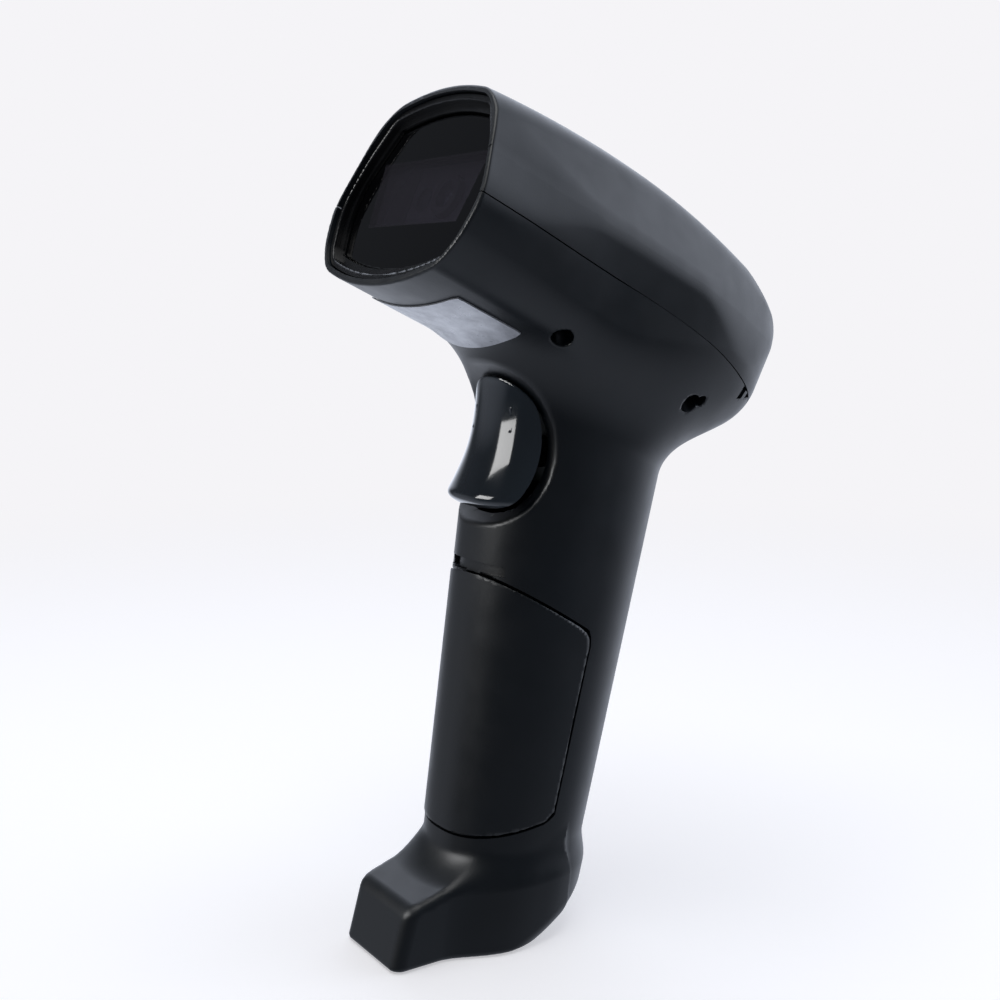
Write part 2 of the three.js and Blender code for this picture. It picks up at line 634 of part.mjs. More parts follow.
function buildBezel() {
  const thin = rimForm(RIM_WALL + GAP, [0.8, RIM_DEPTH - GAP]);
  const thick = rimForm(WALL + 2 * GAP, [2, 8]);
  return cut(thin.add(thick), [
    rimForm(2.6, [-1, 2.2]),
    rimForm(4.2, [-1, 4.6]),
    rimForm(6.6, [-1, 9]),
  ]);
}

// A sheet that follows the nose underside: two offset skins joined round their edge.
function buildNoseLabel() {
  const columns = 8;
  const rows = 8;
  const lift = GAP + 0.1;
  const thickness = 0.3;
  const up = new THREE.Vector3(0, Math.sin(HEAD.tilt), Math.cos(HEAD.tilt));
  const point = (column, row, height) => {
    const x = -15.5 + (31 * column) / columns;
    const s = 9 + (16 * row) / rows;
    const from = headGroup.localToWorld(new THREE.Vector3(x, s, 4));
    const down = up.clone().negate();
    return from.addScaledVector(down, reach(bodyDistance, from, down, -height, 40));
  };
  const rings = [];
  for (let row = 0; row <= rows; row += 1) {
    const near = Array.from({ length: columns + 1 }, (_, k) => point(k, row, lift));
    const far = Array.from({ length: columns + 1 }, (_, k) => point(columns - k, row, lift + thickness));
    rings.push([...near, ...far]);
  }
  return loftStrip(rings);
}

// Flat-sided rings joined into a skin, with strip ends instead of poles.
function loftStrip(rings) {
  const count = rings[0].length;
  const points = rings.flat();
  const at = (ring, k) => ring * count + (k % count);
  const faces = [];
  for (let ring = 0; ring + 1 < rings.length; ring += 1) {
    for (let k = 0; k < count; k += 1) {
      faces.push(at(ring, k), at(ring, k + 1), at(ring + 1, k + 1));
      faces.push(at(ring, k), at(ring + 1, k + 1), at(ring + 1, k));
    }
  }
  const last = rings.length - 1;
  for (let k = 0; k + 1 < count / 2; k += 1) {
    const far = count - 1 - k;
    faces.push(at(0, k), at(0, far), at(0, far - 1), at(0, k), at(0, far - 1), at(0, k + 1));
    faces.push(at(last, k), at(last, far - 1), at(last, far));
    faces.push(at(last, k), at(last, k + 1), at(last, far - 1));
  }
  const geometry = new THREE.BufferGeometry();
  geometry.setAttribute("position", new THREE.Float32BufferAttribute(points.flatMap((p) => p.toArray()), 3));
  geometry.setIndex(faces);
  return solid(geometry);
}

function screw(x, y, [headLow, headHigh], [shankLow, shankHigh], headRadius, shankRadius) {
  const head = solid(post(x, y, [headLow, headHigh], headRadius, 18));
  const shank = solid(post(x, y, [shankLow, shankHigh], shankRadius, 12));
  return { head, shank };
}

function coverScrew({ s, x }) {
  const headSpan = [WELL.seat - GAP - 2, WELL.seat - GAP];
  const { head, shank } = screw(x, s, headSpan, [WELL.seat - GAP - 1, 21], 2, 1.2);
  const low = headSpan[0] - 1;
  const slots = [
    box([x - 1.5, x + 1.5], [s - 0.3, s + 0.3], [low, low + 1.9]),
    box([x - 0.3, x + 0.3], [s - 1.5, s + 1.5], [low, low + 1.9]),
  ];
  return cut(head.add(shank), slots);
}

function buildInnerFrame() {
  const { bottom, top, half, front, rear } = FRAME_PLATE;
  const plate = box([-half, half], [front, rear], [bottom, top]);
  const ears = screwPlaces().map(({ s, x }) => post(x, s, [bottom, top], 3.4));
  const arms = screwPlaces().map(({ s, x }) => {
    const reachX = [Math.min(x, Math.sign(x) * 10), Math.max(x, Math.sign(x) * 10)];
    return box(reachX, [s - 3, s + 3], [bottom, top]);
  });
  const posts = boardPlaces().map(({ x, s }) => post(x, s, [top - 0.5, BOARD.bottom - GAP], 2.3));
  const holes = [
    ...screwPlaces().map(({ s, x }) => post(x, s, [bottom - 1, top + 1], WELL.hole)),
    ...boardPlaces().map(({ x, s }) => post(x, s, [top - 0.4, BOARD.bottom + 1], 1.2)),
    box([-8, 8], [42, 60], [bottom - 1, top + 1]),
  ];
  return cut(joined([plate, ...ears, ...arms, ...posts]).intersect(headClear), holes);
}

function boardPlaces() {
  const { x, front, rear } = BOARD_POSTS;
  return [[-x, front], [x, front], [-x, rear], [x, rear]].map(([px, s]) => ({ x: px, s }));
}

function buildMainBoard() {
  const { bottom, top, half, front, rear } = BOARD;
  const corner = 2;
  const outline = [[-half, front], [half, front], [half, rear - corner], [half - corner, rear],
    [-half + corner, rear], [-half, rear - corner]];
  const shape = new THREE.Shape(outline.map(([x, s]) => new THREE.Vector2(x, s)));
  const depth = top - bottom;
  const board = new THREE.ExtrudeGeometry(shape, { depth, bevelEnabled: false }).translate(0, 0, bottom);
  return cut(board, boardPlaces().map(({ x, s }) => post(x, s, [bottom - 1, top + 1], 1.2)));
}

function boardScrew({ x, s }) {
  const { head, shank } = screw(x, s, [BOARD.top + GAP, BOARD.top + 1.6], [FRAME_PLATE.top + 0.3, BOARD.top + 1],
    2, 0.9);
  return head.add(shank);
}

function buildEngineChassis() {
  const { half, front, rear, bottom, top, lensQ } = ENGINE;
  return cut(box([-half, half], [front, rear], [bottom, top]), [
    barrel(0, [front - 1, rear + 1], lensQ, 4.6),
    barrel(-9.2, [front - 1, front + 6], lensQ, 2.6),
    box([6.8, 11.6], [front - 1, front + 5], [lensQ - 5, lensQ + 5]),
  ]);
}

function buildLensBarrel() {
  const profile = [[2.7, 0], [4.2, 0], [4.2, 14], [2.7, 14], [2.7, 0]];
  const points = profile.map(([radius, along]) => new THREE.Vector2(radius, along));
  return new THREE.LatheGeometry(points, 28).translate(0, ENGINE.front - 1.2, ENGINE.lensQ);
}

function buildLensGlass() {
  const bulge = Array.from({ length: 7 }, (_, k) => {
    const angle = (k / 6) * (Math.PI / 2);
    return new THREE.Vector2(2.4 * Math.sin(angle), -1.1 * Math.cos(angle));
  });
  const points = [...bulge, new THREE.Vector2(2.4, 1.4), new THREE.Vector2(0, 1.4)];
  return new THREE.LatheGeometry(points, 28).translate(0, ENGINE.front + 0.6, ENGINE.lensQ);
}

function buildBatteryPack() {
  const { half, front, back, bottom, top } = PACK;
  const round = 3;
  const shape = new THREE.Shape();
  shape.absarc(half - round, back - round, round, 0, Math.PI / 2);
  shape.absarc(-half + round, back - round, round, Math.PI / 2, Math.PI);
  shape.absarc(-half + round, front + round, round, Math.PI, 1.5 * Math.PI);
  shape.absarc(half - round, front + round, round, 1.5 * Math.PI, 2 * Math.PI);
  const options = { depth: top - bottom, bevelEnabled: false, curveSegments: 5 };
  return new THREE.ExtrudeGeometry(shape, options).translate(0, 0, bottom);
}

function contactSpring(x) {
  const leaf = [[-2.2, 44.3], [2.6, 44.3], [3, 44.7], [3, 45], [2.2, 45], [-1.8, 44.6]];
  return slab(leaf, [x - 1.2, x + 1.2]);
}

// A flat ribbon of even thickness along a line of [y, z] points.
function buildRibbonCable() {
  const line = new THREE.CatmullRomCurve3(
    [[25.9, 108.7], [26.2, 112], [29, 117], [32.4, 121.5], [33.7, 126.4]]
      .map(([y, z]) => new THREE.Vector3(0, y, z)));
  const count = 8;
  const edge = (offset) => Array.from({ length: count + 1 }, (_, k) => {
    const point = line.getPoint(k / count);
    const along = line.getTangent(k / count);
    return [point.y - along.z * offset, point.z + along.y * offset];
  });
  return slab([...edge(0.3), ...edge(-0.3).reverse()], [-3, 3]);
}

function buildChargePort() {
  return cut(box([-4.9, 4.9], [-2, 2], [0.8, 7.3]), [
    box([-4.3, 4.3], [-1.4, -0.4], [0, 6.4]),
    box([-4.3, 4.3], [0.4, 1.4], [0, 6.4]),
    box([-4.3, -3.4], [-1.4, 1.4], [0, 6.4]),
    box([3.4, 4.3], [-1.4, 1.4], [0, 6.4]),
    box([-4.3, 4.3], [-1.4, 1.4], [0, 2.2]),
  ]);
}

function buildLightPipe() {
  const low = 16.8;
  const skinQ = roofEdgeQ(STATUS.s) + ROOF_EDGE.crown;
  return solid(post(0, STATUS.s, [low, skinQ + 2], STATUS.radius)).intersect(headForm(0.1, 1));
}

function buildSwitchBody() {
  return cut(box([-3, 3], [21.9, 24.7], [95, 101]), [barrel(0, [20, 23.9], 98, 2.05)]);
}

// ---------------------------------------------------------------- assembly
add(headGroup, "top_cover", buildTopCover(), HOUSING_BLACK);
add(scanner, "main_body", buildMainBody(), HOUSING_BLACK);
add(scanner, "foot_pad", soleSlab(1.9, [0, 1.5]), RUBBER);
add(gripGroup, "battery_door", buildBatteryDoor(), HOUSING_BLACK);
add(scanner, "nose_label", buildNoseLabel(), LABEL_SILVER);
add(headGroup, "window_bezel", buildBezel(), BEZEL_BLACK);
add(headGroup, "scan_window", rimForm(4.5, [3, 4.3]), WINDOW_TINT);

add(headGroup, "inner_frame", buildInnerFrame(), FRAME_GREY);
add(headGroup, "engine_chassis", buildEngineChassis(), BLACK_STEEL);
add(headGroup, "lens_barrel", buildLensBarrel(), CHIP_BLACK);
add(headGroup, "lens_glass", buildLensGlass(), CLEAR);
add(headGroup, "aimer_lens", barrel(-9.2, [ENGINE.front + 1, ENGINE.front + 4], ENGINE.lensQ, 2.2), CLEAR);
add(headGroup, "flood_led_upper", box([7.4, 11], [11, 12.6], [18.6, 22.2]), LED_WHITE);
add(headGroup, "flood_led_lower", box([7.4, 11], [11, 12.6], [13.4, 17]), LED_WHITE);
add(headGroup, "image_sensor", box([-10, 10], [24.3, 25.5], [11.2, 24]), BOARD_GREEN);

add(headGroup, "main_board", buildMainBoard(), BOARD_GREEN);
add(headGroup, "board_processor", box([-6, 6], [50, 62], [BOARD.top + GAP, BOARD.top + 1.6]), CHIP_BLACK);
add(headGroup, "board_connector", box([-7, 7], [36, 40.5], [BOARD.top + GAP, BOARD.top + 5]), SWITCH_BEIGE);
add(headGroup, "buzzer", post(0, 73, [BOARD.top + GAP, BOARD.top + 5], 5.5, 28), CHIP_BLACK);
add(headGroup, "status_led", box([-1.5, 1.5], [63, 65], [BOARD.top + GAP, 16]), LED_WHITE);
add(headGroup, "status_light_pipe", buildLightPipe(), CLEAR);
boardPlaces().forEach((place, k) => add(headGroup, `board_screw_${k + 1}`, boardScrew(place), STEEL));
screwPlaces().forEach((place, k) => add(headGroup, `cover_screw_${k + 1}`, coverScrew(place), BLACK_STEEL));

add(scanner, "trigger", buildTrigger(), TRIGGER_SLATE);
add(scanner, "trigger_pin", rod([-PIN.half, PIN.half], PIN.y, PIN.z, PIN.radius, 16), STEEL);
add(scanner, "trigger_spring", buildTriggerSpring(), STEEL);
add(scanner, "switch_body", buildSwitchBody(), CHIP_BLACK);
add(scanner, "switch_plunger", barrel(0, [18.3, 22.1], 98, 1.75), SWITCH_BEIGE);
add(scanner, "trigger_board", box([-8, 8], [25, 26.4], [91.5, 108.4]), BOARD_GREEN);
add(scanner, "ribbon_cable", buildRibbonCable(), CABLE_AMBER);

add(gripGroup, "battery_pack", buildBatteryPack(), PACK_WRAP);
add(gripGroup, "contact_plate", box([-8, 8], [-6, 5], [45.3, 46.4]), BOARD_GREEN);
add(gripGroup, "contact_spring_left", contactSpring(5), GOLD);
add(gripGroup, "contact_spring_right", contactSpring(-5), GOLD);
add(portGroup, "charge_port", buildChargePort(), STEEL);

export default scanner;
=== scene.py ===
import json
import math
from types import SimpleNamespace as Sizes

import bmesh
import bpy
import numpy as np
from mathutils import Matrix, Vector


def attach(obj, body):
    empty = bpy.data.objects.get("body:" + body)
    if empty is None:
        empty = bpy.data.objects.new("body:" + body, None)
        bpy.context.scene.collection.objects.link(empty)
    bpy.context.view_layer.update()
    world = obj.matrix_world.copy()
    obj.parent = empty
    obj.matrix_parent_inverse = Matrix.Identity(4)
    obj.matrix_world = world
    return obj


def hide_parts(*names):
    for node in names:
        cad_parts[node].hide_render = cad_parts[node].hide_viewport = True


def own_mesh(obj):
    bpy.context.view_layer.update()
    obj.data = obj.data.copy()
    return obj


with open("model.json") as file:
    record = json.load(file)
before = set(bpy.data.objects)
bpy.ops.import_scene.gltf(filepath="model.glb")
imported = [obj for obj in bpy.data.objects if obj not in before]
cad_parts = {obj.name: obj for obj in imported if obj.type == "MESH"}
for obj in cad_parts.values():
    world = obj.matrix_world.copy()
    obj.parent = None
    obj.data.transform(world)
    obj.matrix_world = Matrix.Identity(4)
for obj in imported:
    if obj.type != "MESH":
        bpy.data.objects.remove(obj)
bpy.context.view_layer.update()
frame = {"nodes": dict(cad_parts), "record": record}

# Handheld barcode scanner. The moulded pieces are distance functions in millimetres, negative inside, with
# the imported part's own sizes, and contour() turns each into a mesh with sharp edges. The small pieces
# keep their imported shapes, with rounded edges, and every piece gets a procedural material.
#
# Head frame: x, s backward along the head from its front rim, and q square to both.
# Grip frame: x, d backward through the grip, and v up it.

MM = 0.001
GAP = 0.3  # between pieces
WALL = 2.2
GRID = 1.0  # scale of every grid step

HEAD = Sizes(y=-12.4, z=135.25, tilt=math.radians(25), half=25.3, draft=0.07)
ROOF = Sizes(x=17.8, q=36.4, s=38, front=0.0021, rear=0.003, crown=2.4, bow=0.009, radius=3.5)
BARREL = Sizes(q=12, reach=11, height=1.9, length=40)  # the sides swell toward the front rim
PLAN = Sizes(s=51.4, length=40, power=2.5)  # rounded rear end, seen from above
# Front and rear are what the edge radius gains toward that end.
CREASE = Sizes(q=21.0, radius=1.2, front=3.8, front_end=28, rear=6.8, rear_start=54, rear_end=78)
FLOOR = Sizes(q=-4.5, bow=0.0085, radius=5, rear=9, start=40, end=75)
RIM = Sizes(wall=1.2, depth=5.0, edge=0.55)  # thinner wall that takes the bezel
SEAM = Sizes(q=12.7, s=38, drop=0.0018, gap=0.24)  # parting line between cover and body

GRIP = Sizes(y=15.9, z=22.0, tilt=math.radians(11.4))
GRIP_FORM = Sizes(half=15, half_taper=0.02, depth=16.1, depth_taper=0.061, power=2.35)
NECK = Sizes(front=8.5, rear=11.0, start=20, end=45)  # fillet radius between grip and head
DOOR = Sizes(gap=0.6, top=50.4, slope=0.4, rear=0.5, rear_taper=0.04, bottom=3.1, bottom_slope=0.36,
             proud=0.25, edge=0.35)

SOLE_Z = 0.3  # the foot pad stands this far proud
FOOT = Sizes(half=10.2, flare=0.05, front=-17, lean=0.298, top=12.35, rise=0.275, rear=18, steep=0.96,
             edge=2.5, top_edge=1.8, sole_edge=0.9, fillet=4, collar=1.5, collar_low=13, collar_high=20)
HEEL = Sizes(y=12.5, sine=0.4, radius=3.5)  # slope that rises behind the sole
PORT_Y = 22.5  # charging socket, in the heel

MOUTH = Sizes(y=0.3, z=101.0, radius=18.2, edge=0.5)  # round trigger opening, seen from the side
PIN = Sizes(y=19.5, z=112.0, radius=1.2, half=12.5)  # trigger's hinge pin, along x
SCREWS = [(30.5, 20.1), (65.8, 18.5)]  # (s, x), and the same at -x
WELL = Sizes(radius=2.4, wall=1.8, seat=5.2, top=8.7, hole=1.5, edge=0.3)  # seat and top in q
LOBE = Sizes(offset=2.9, radius=1.3)  # small recess behind each rear well
POST = Sizes(radius=3.3, foot=10.8, shoulder=13.0, bored=23)  # cover's screw posts, in q
STRAP = Sizes(x=18.2, y=64.9, turn=math.radians(26))  # the wrist strap's two slots and bar
STATUS = Sizes(s=64, radius=2.2)  # status light pipe in the roof


# ---------------------------------------------------------------- distance functions
def round_union(a, b, radius):
    """Two forms joined, with a fillet where they meet."""
    corner = np.hypot(np.maximum(radius - a, 0), np.maximum(radius - b, 0))
    return np.maximum(radius, np.minimum(a, b)) - corner


def round_inside(a, b, radius):
    """What two forms share, with a rounded edge where they meet."""
    corner = np.hypot(np.maximum(radius + a, 0), np.maximum(radius + b, 0))
    return np.minimum(-radius, np.maximum(a, b)) + corner


def smoothstep(x, low, high):
    """Rises smoothly from 0 at low to 1 at high."""
    t = np.clip((x - low) / (high - low), 0, 1)
    return t * t * (3 - 2 * t)


def superellipse(u, v, power):
    return (np.abs(u) ** power + np.abs(v) ** power) ** (1 / power)


def box_field(*spans):
    """spans are (coordinate, low, high)."""
    return np.maximum.reduce([np.maximum(low - c, c - high) for c, low, high in spans])


def circle(a, b, at_a, at_b, radius):
    return np.hypot(a - at_a, b - at_b) - radius


def polygon(points, u, v):
    """Distance to a closed outline of corners, negative inside."""
    nearest = np.full(u.shape, 1e9)
    inside = np.zeros(u.shape, bool)
    for (u0, v0), (u1, v1) in zip(points, points[1:] + points[:1]):
        du, dv = u1 - u0, v1 - v0
        t = np.clip(((u - u0) * du + (v - v0) * dv) / (du * du + dv * dv), 0, 1)
        nearest = np.minimum(nearest, np.hypot(u - u0 - t * du, v - v0 - t * dv))
        if dv:
            inside ^= ((v0 > v) != (v1 > v)) & (u < u0 + du * (v - v0) / dv)
    return np.where(inside, -nearest, nearest)


def turned(p, y0, z0, tilt):
    """Coordinates in a frame that is tilted about x."""
    y, z = p[:, 1] - y0, p[:, 2] - z0
    return p[:, 0], y * math.cos(tilt) - z * math.sin(tilt), y * math.sin(tilt) + z * math.cos(tilt)


def head_space(p):
    return turned(p, HEAD.y, HEAD.z, HEAD.tilt)


def grip_space(p):
    return turned(p, GRIP.y, GRIP.z, GRIP.tilt)


def head_field(x, s, q):
    """The closed head form, which goes on past its front rim."""
    side = np.abs(x)
    level = np.maximum(1 - ((q - BARREL.q) / BARREL.reach) ** 2, 0) ** 2
    swell = BARREL.height * (1 - smoothstep(s, 0, BARREL.length)) * level
    drafted = side + HEAD.draft * np.maximum(CREASE.q - q, 0) - swell
    behind = np.maximum(s - PLAN.s, 0) / PLAN.length
    plan = (superellipse(drafted / HEAD.half, behind, PLAN.power) - 1) * HEAD.half
    edge = ROOF.q - np.where(s < ROOF.s, ROOF.front, ROOF.rear) * (s - ROOF.s) ** 2
    top = q - (edge + ROOF.crown - ROOF.bow * side**2)
    rise, run = edge - CREASE.q, HEAD.half - ROOF.x
    chamfer = ((side - HEAD.half) * rise + (q - CREASE.q) * run) / np.hypot(rise, run)
    roof = round_inside(top, chamfer, ROOF.radius)
    floor = FLOOR.q + FLOOR.bow * side**2 - q
    floor_radius = FLOOR.radius + FLOOR.rear * smoothstep(s, FLOOR.start, FLOOR.end)
    front_share = 1 - smoothstep(s, 0, CREASE.front_end)
    rear_share = smoothstep(s, CREASE.rear_start, CREASE.rear_end)
    crease_radius = CREASE.radius + CREASE.front * front_share + CREASE.rear * rear_share
    return round_inside(round_inside(plan, floor, floor_radius), roof, crease_radius)


def grip_field(x, d, v, grow=0.0):
    """The grip without ends, wider and deeper toward its top."""
    half = GRIP_FORM.half + GRIP_FORM.half_taper * v + grow
    depth = GRIP_FORM.depth + GRIP_FORM.depth_taper * v + grow
    return (superellipse(x / half, d / depth, GRIP_FORM.power) - 1) * np.minimum(half, depth)


def foot_half(y):
    return FOOT.half + FOOT.flare * (y + 16)


def foot_field(p):
    x, y, z = p.T
    side = np.abs(x) - foot_half(y)
    front = -(y - FOOT.front - FOOT.lean * z) * FOOT.steep
    top = (z - FOOT.top - FOOT.rise * (y + 13)) * FOOT.steep
    block = round_inside(round_inside(side, front, FOOT.edge), top, FOOT.top_edge)
    swell = FOOT.collar * (1 - smoothstep(z, FOOT.collar_low, FOOT.collar_high))
    collar = grip_field(*grip_space(p), swell)
    foot = round_union(np.maximum(block, y - FOOT.rear), np.maximum(collar, z - 25), FOOT.fillet)
    foot = round_inside(foot, SOLE_Z - z, FOOT.sole_edge)
    heel = HEEL.sine * (y - HEEL.y) - math.sqrt(1 - HEEL.sine**2) * z
    return round_inside(foot, heel, HEEL.radius)


def stem_field(p):
    """The grip, from a little below its foot to inside the head."""
    x, d, v = grip_space(p)
    return np.maximum.reduce([grip_field(x, d, v), -v - 3, head_space(p)[2] - 20])


def neck_radius(s):
    return NECK.front + (NECK.rear - NECK.front) * smoothstep(s, NECK.start, NECK.end)


def seam_q(s):
    return SEAM.q - SEAM.drop * np.maximum(s - SEAM.s, 0) ** 2


def rim_section(x, q):
    """The head's section at its front rim, carried along the head."""
    return head_field(x, np.zeros_like(q), q)


def head_hollow(x, s, q):
    return np.minimum(np.maximum(head_field(x, s, q) + WALL, RIM.depth - s),
                      np.maximum(rim_section(x, q) + RIM.wall, s - RIM.depth - 0.5))


def fronted(x, s, q):
    """The head with its front face, whose edge is rounded."""
    return round_inside(head_field(x, s, q), -s, RIM.edge)


def screw_places():
    return [(s, sign * x) for s, x in SCREWS for sign in (1, -1)]


def well_mouth(x, s, q, at_s, at_x):
    """The screw well's opening, square to the skin there, with a small lobe behind the rear ones."""
    column = np.stack([np.full(60, at_x), np.full(60, at_s), np.linspace(-8, 12, 60)], -1)
    skin = column[np.argmin(np.abs(head_field(*column.T)))]
    normal = gradient(lambda points: head_field(*points.T), skin[None])[0]
    across = np.cross(normal, [0, -math.sin(HEAD.tilt), math.cos(HEAD.tilt)])
    across *= math.copysign(1, across[1]) / np.linalg.norm(across)

    def bored(offset, radius, low, high):
        """A round hole along the normal, moved sideways by an offset."""
        away = np.stack([x, s, q], -1) - skin - offset * across
        depth = away @ normal
        radial = np.linalg.norm(away - depth[:, None] * normal, axis=1) - radius
        return np.maximum(radial, np.abs(depth - (low + high) / 2) - (high - low) / 2)

    mouth = bored(0.0, WELL.radius * 0.9, -4, 2)
    if at_s > PLAN.s:
        mouth = np.minimum(mouth, bored(LOBE.offset, LOBE.radius, -2.5, 1.5))
    below_skin = head_field(x, s, q) + 1.6
    shaft = np.maximum.reduce([circle(x, s, at_x, at_s, WELL.radius), q - WELL.seat, below_skin])
    return np.minimum(mouth, shaft)


def top_cover_field(p):
    x, s, q = p.T
    head = head_field(x, s, q)
    shell = np.maximum(fronted(x, s, q), -head_hollow(x, s, q))
    shell = np.maximum(shell, seam_q(s) + SEAM.gap / 2 - q)
    for at_s, at_x in screw_places():
        radial = circle(x, s, at_x, at_s, POST.radius)
        low = np.maximum.reduce([radial, POST.foot - q, q - POST.shoulder - 0.1, head + WALL + GAP])
        high = np.maximum.reduce([radial, POST.shoulder - 0.1 - q, head + 1])
        bore = np.maximum(circle(x, s, at_x, at_s, WELL.hole), q - POST.bored)
        shell = np.minimum(shell, np.maximum(np.minimum(low, high), -bore))
    lamp_hole = np.maximum(circle(x, s, 0, STATUS.s, STATUS.radius + GAP), 20 - q)
    return np.maximum(shell, -lamp_hole)


def door_outline(offset):
    """Side outline of the battery door in the grip frame, as (d, v), grown by an offset."""
    def top_at(d):
        return DOOR.top - DOOR.slope * (d + 19) + offset

    def bottom_at(d):
        return DOOR.bottom + DOOR.bottom_slope * (d + 1.3) - offset

    def rear_at(v):
        return DOOR.rear + DOOR.rear_taper * v + offset

    return [(-30, bottom_at(-30)), (-1.3, bottom_at(-1.3)), (rear_at(4.5) - 1, 4 - offset),
            (rear_at(5), 5 - offset), (rear_at(39.5), 39.5 + 0.3 * offset),
            (rear_at(41) - 0.5, 41.2 + 0.7 * offset), (rear_at(42) - 1.5, 42.4 + offset),
            (-1.6, top_at(-1.6)), (-30, top_at(-30))]


def battery_door_field(p):
    x, d, v = grip_space(p)
    grip = grip_field(x, d, v)
    outline = polygon(door_outline(-DOOR.gap / 2), d, v)
    return np.maximum(round_inside(grip - DOOR.proud, outline, DOOR.edge), -(grip + WALL))


def body_inside(p):
    """The hollows of the main body, with the bay walls, ribs and screw tubes left standing."""
    x, s, q = head_space(p)
    _, d, v = grip_space(p)
    y, z = p[:, 1], p[:, 2]
    grip = grip_field(x, d, v)
    # Head, grip, two rooms in the foot, and a channel from there into the grip.
    hollow = np.minimum.reduce([
        head_hollow(x, s, q),
        np.maximum.reduce([grip + WALL, 2.5 - v, v - 97]),
        box_field((x, -6.8, 6.8), (y, -11.5, 16), (z, 3.4, 10.5)),
        box_field((x, -8, 8), (y, 9, 20.5), (z, 9.5, 17.5)),
        box_field((x, -4, 4), (d, 9.4, 12.6), (v, -8, 4)),
    ])
    # Walls behind and above the battery, then the return spring's seat and rails for the trigger's board.
    walls = np.minimum(box_field((x, -16, 16), (d, 7, 8.5), (v, 0, 48.2)),
                       box_field((x, -16, 16), (d, -30, 7.4), (v, 46.7, 48.2)))
    room = np.minimum(grip + WALL + GAP, np.maximum(grip + 1, 3 - d))
    ribs = np.minimum(box_field((x, -16, 16), (d, 20, 21.5), (v, 88, 94.5)),
                      box_field((np.abs(x), 6.5, 17), (d, 26.7, 28.2), (v, 91, 109)))
    kept = np.minimum(np.maximum(walls, room), np.maximum(ribs, grip + 1))
    for at_s, at_x in screw_places():
        tube = np.maximum(circle(x, s, at_x, at_s, WELL.radius + WELL.wall), q - WELL.top)
        kept = np.minimum(kept, np.maximum(tube, head_field(x, s, q) + 0.5))
    return np.maximum(hollow, -kept)


def port_hole(p):
    """The charging socket's opening, square to the heel's slope."""
    slope = math.asin(HEEL.sine)
    x, across, out = turned(p, PORT_Y, (PORT_Y - HEEL.y) * math.tan(slope), -slope)
    return box_field((x, -5.2, 5.2), (across, -2.3, 2.3), (out, -8, 7.6))


def strap_slots(x, y, z):
    cos, sin = math.cos(STRAP.turn), math.sin(STRAP.turn)
    out = (x - STRAP.x) * cos + (y - STRAP.y) * sin
    along = (y - STRAP.y) * cos - (x - STRAP.x) * sin
    return box_field((out, -3.4, 6), (np.abs(along), 0.7, 2.5), (z, 107.9, 111.3))


def main_body_field(p):
    x, s, q = head_space(p)
    _, d, v = grip_space(p)
    y, z = p[:, 1], p[:, 2]
    grip = grip_field(x, d, v)
    outer = np.minimum(round_union(fronted(x, s, q), stem_field(p), neck_radius(s)), foot_field(p))
    outer = np.maximum(outer, SOLE_Z - z)
    outer = round_inside(outer, -circle(y, z, MOUTH.y, MOUTH.z, MOUTH.radius), MOUTH.edge)
    for at_s, at_x in screw_places():
        outer = round_inside(outer, -well_mouth(x, s, q, at_s, at_x), WELL.edge)
    outer = np.maximum(outer, q - seam_q(s) + SEAM.gap / 2)
    body = np.maximum(outer, -body_inside(p))
    finger_nick = np.maximum(box_field((x, -9.2, 9.2), (d, -30, -10), (v, 50.6, 52.6)), -(grip + 1.1))
    pin_bore = np.maximum(circle(y, z, PIN.y, PIN.z, PIN.radius + GAP), np.abs(x) - PIN.half)
    pad_recess = np.maximum.reduce([np.abs(x) - foot_half(y) + 1.6, -15.4 - y, y - 10.9, z - 1.8])
    cuts = [
        np.maximum(polygon(door_outline(DOOR.gap / 2), d, v), -(grip + WALL + 0.1)),
        finger_nick, pin_bore, pad_recess, port_hole(p), strap_slots(x, y, z),
    ]
    for at_s, at_x in screw_places():
        bore = np.maximum(circle(x, s, at_x, at_s, WELL.hole), q - WELL.top - 2)
        cuts.append(np.maximum(bore, 4 - q))
    return np.maximum(body, -np.minimum.reduce(cuts))


# ---------------------------------------------------------------- trigger
TRIGGER = Sizes(half=12.4, depth=10, power=2.3, wall=2.4, swing=math.radians(7), clear=0.45, edge=0.8)
# Front line of the paddle, from under its lip up to its root.
TRIGGER_Z = [87.4, 88.3, 89.3, 90.3, 91.6, 94.5, 98.2, 102.7, 108.0, 112.6, 116.6, 120.0]
TRIGGER_Y = [9.3, 7.5, 6.1, 5.8, 6.5, 8.3, 10.2, 11.7, 12.6, 12.6, 10.9, 8.2]
LUG_X = 5.6  # the two lugs that turn on the pin
LUG = [(12.6, 103), (15.4, 107.8), (16.5, 110.5), (16.7, 113), (18, 114.7), (20.4, 115),
       (22.3, 113), (22.2, 110.6), (19, 106.5), (14.5, 100.5)]  # (y, z)


def spline(knots, values, at):
    """Natural cubic spline."""
    x, y = np.array(knots), np.array(values)
    h = np.diff(x)
    count = len(x)
    matrix, right = np.eye(count), np.zeros(count)
    for k in range(1, count - 1):
        matrix[k, k - 1 : k + 2] = h[k - 1], 2 * (h[k - 1] + h[k]), h[k]
        right[k] = 6 * ((y[k + 1] - y[k]) / h[k] - (y[k] - y[k - 1]) / h[k - 1])
    bend = np.linalg.solve(matrix, right)
    at = np.clip(at, x[0], x[-1])
    k = np.clip(np.searchsorted(x, at) - 1, 0, count - 2)
    t0, t1 = x[k + 1] - at, at - x[k]
    return ((bend[k] * t0**3 + bend[k + 1] * t1**3) / (6 * h[k])
            + (y[k] / h[k] - bend[k] * h[k] / 6) * t0 + (y[k + 1] / h[k] - bend[k + 1] * h[k] / 6) * t1)


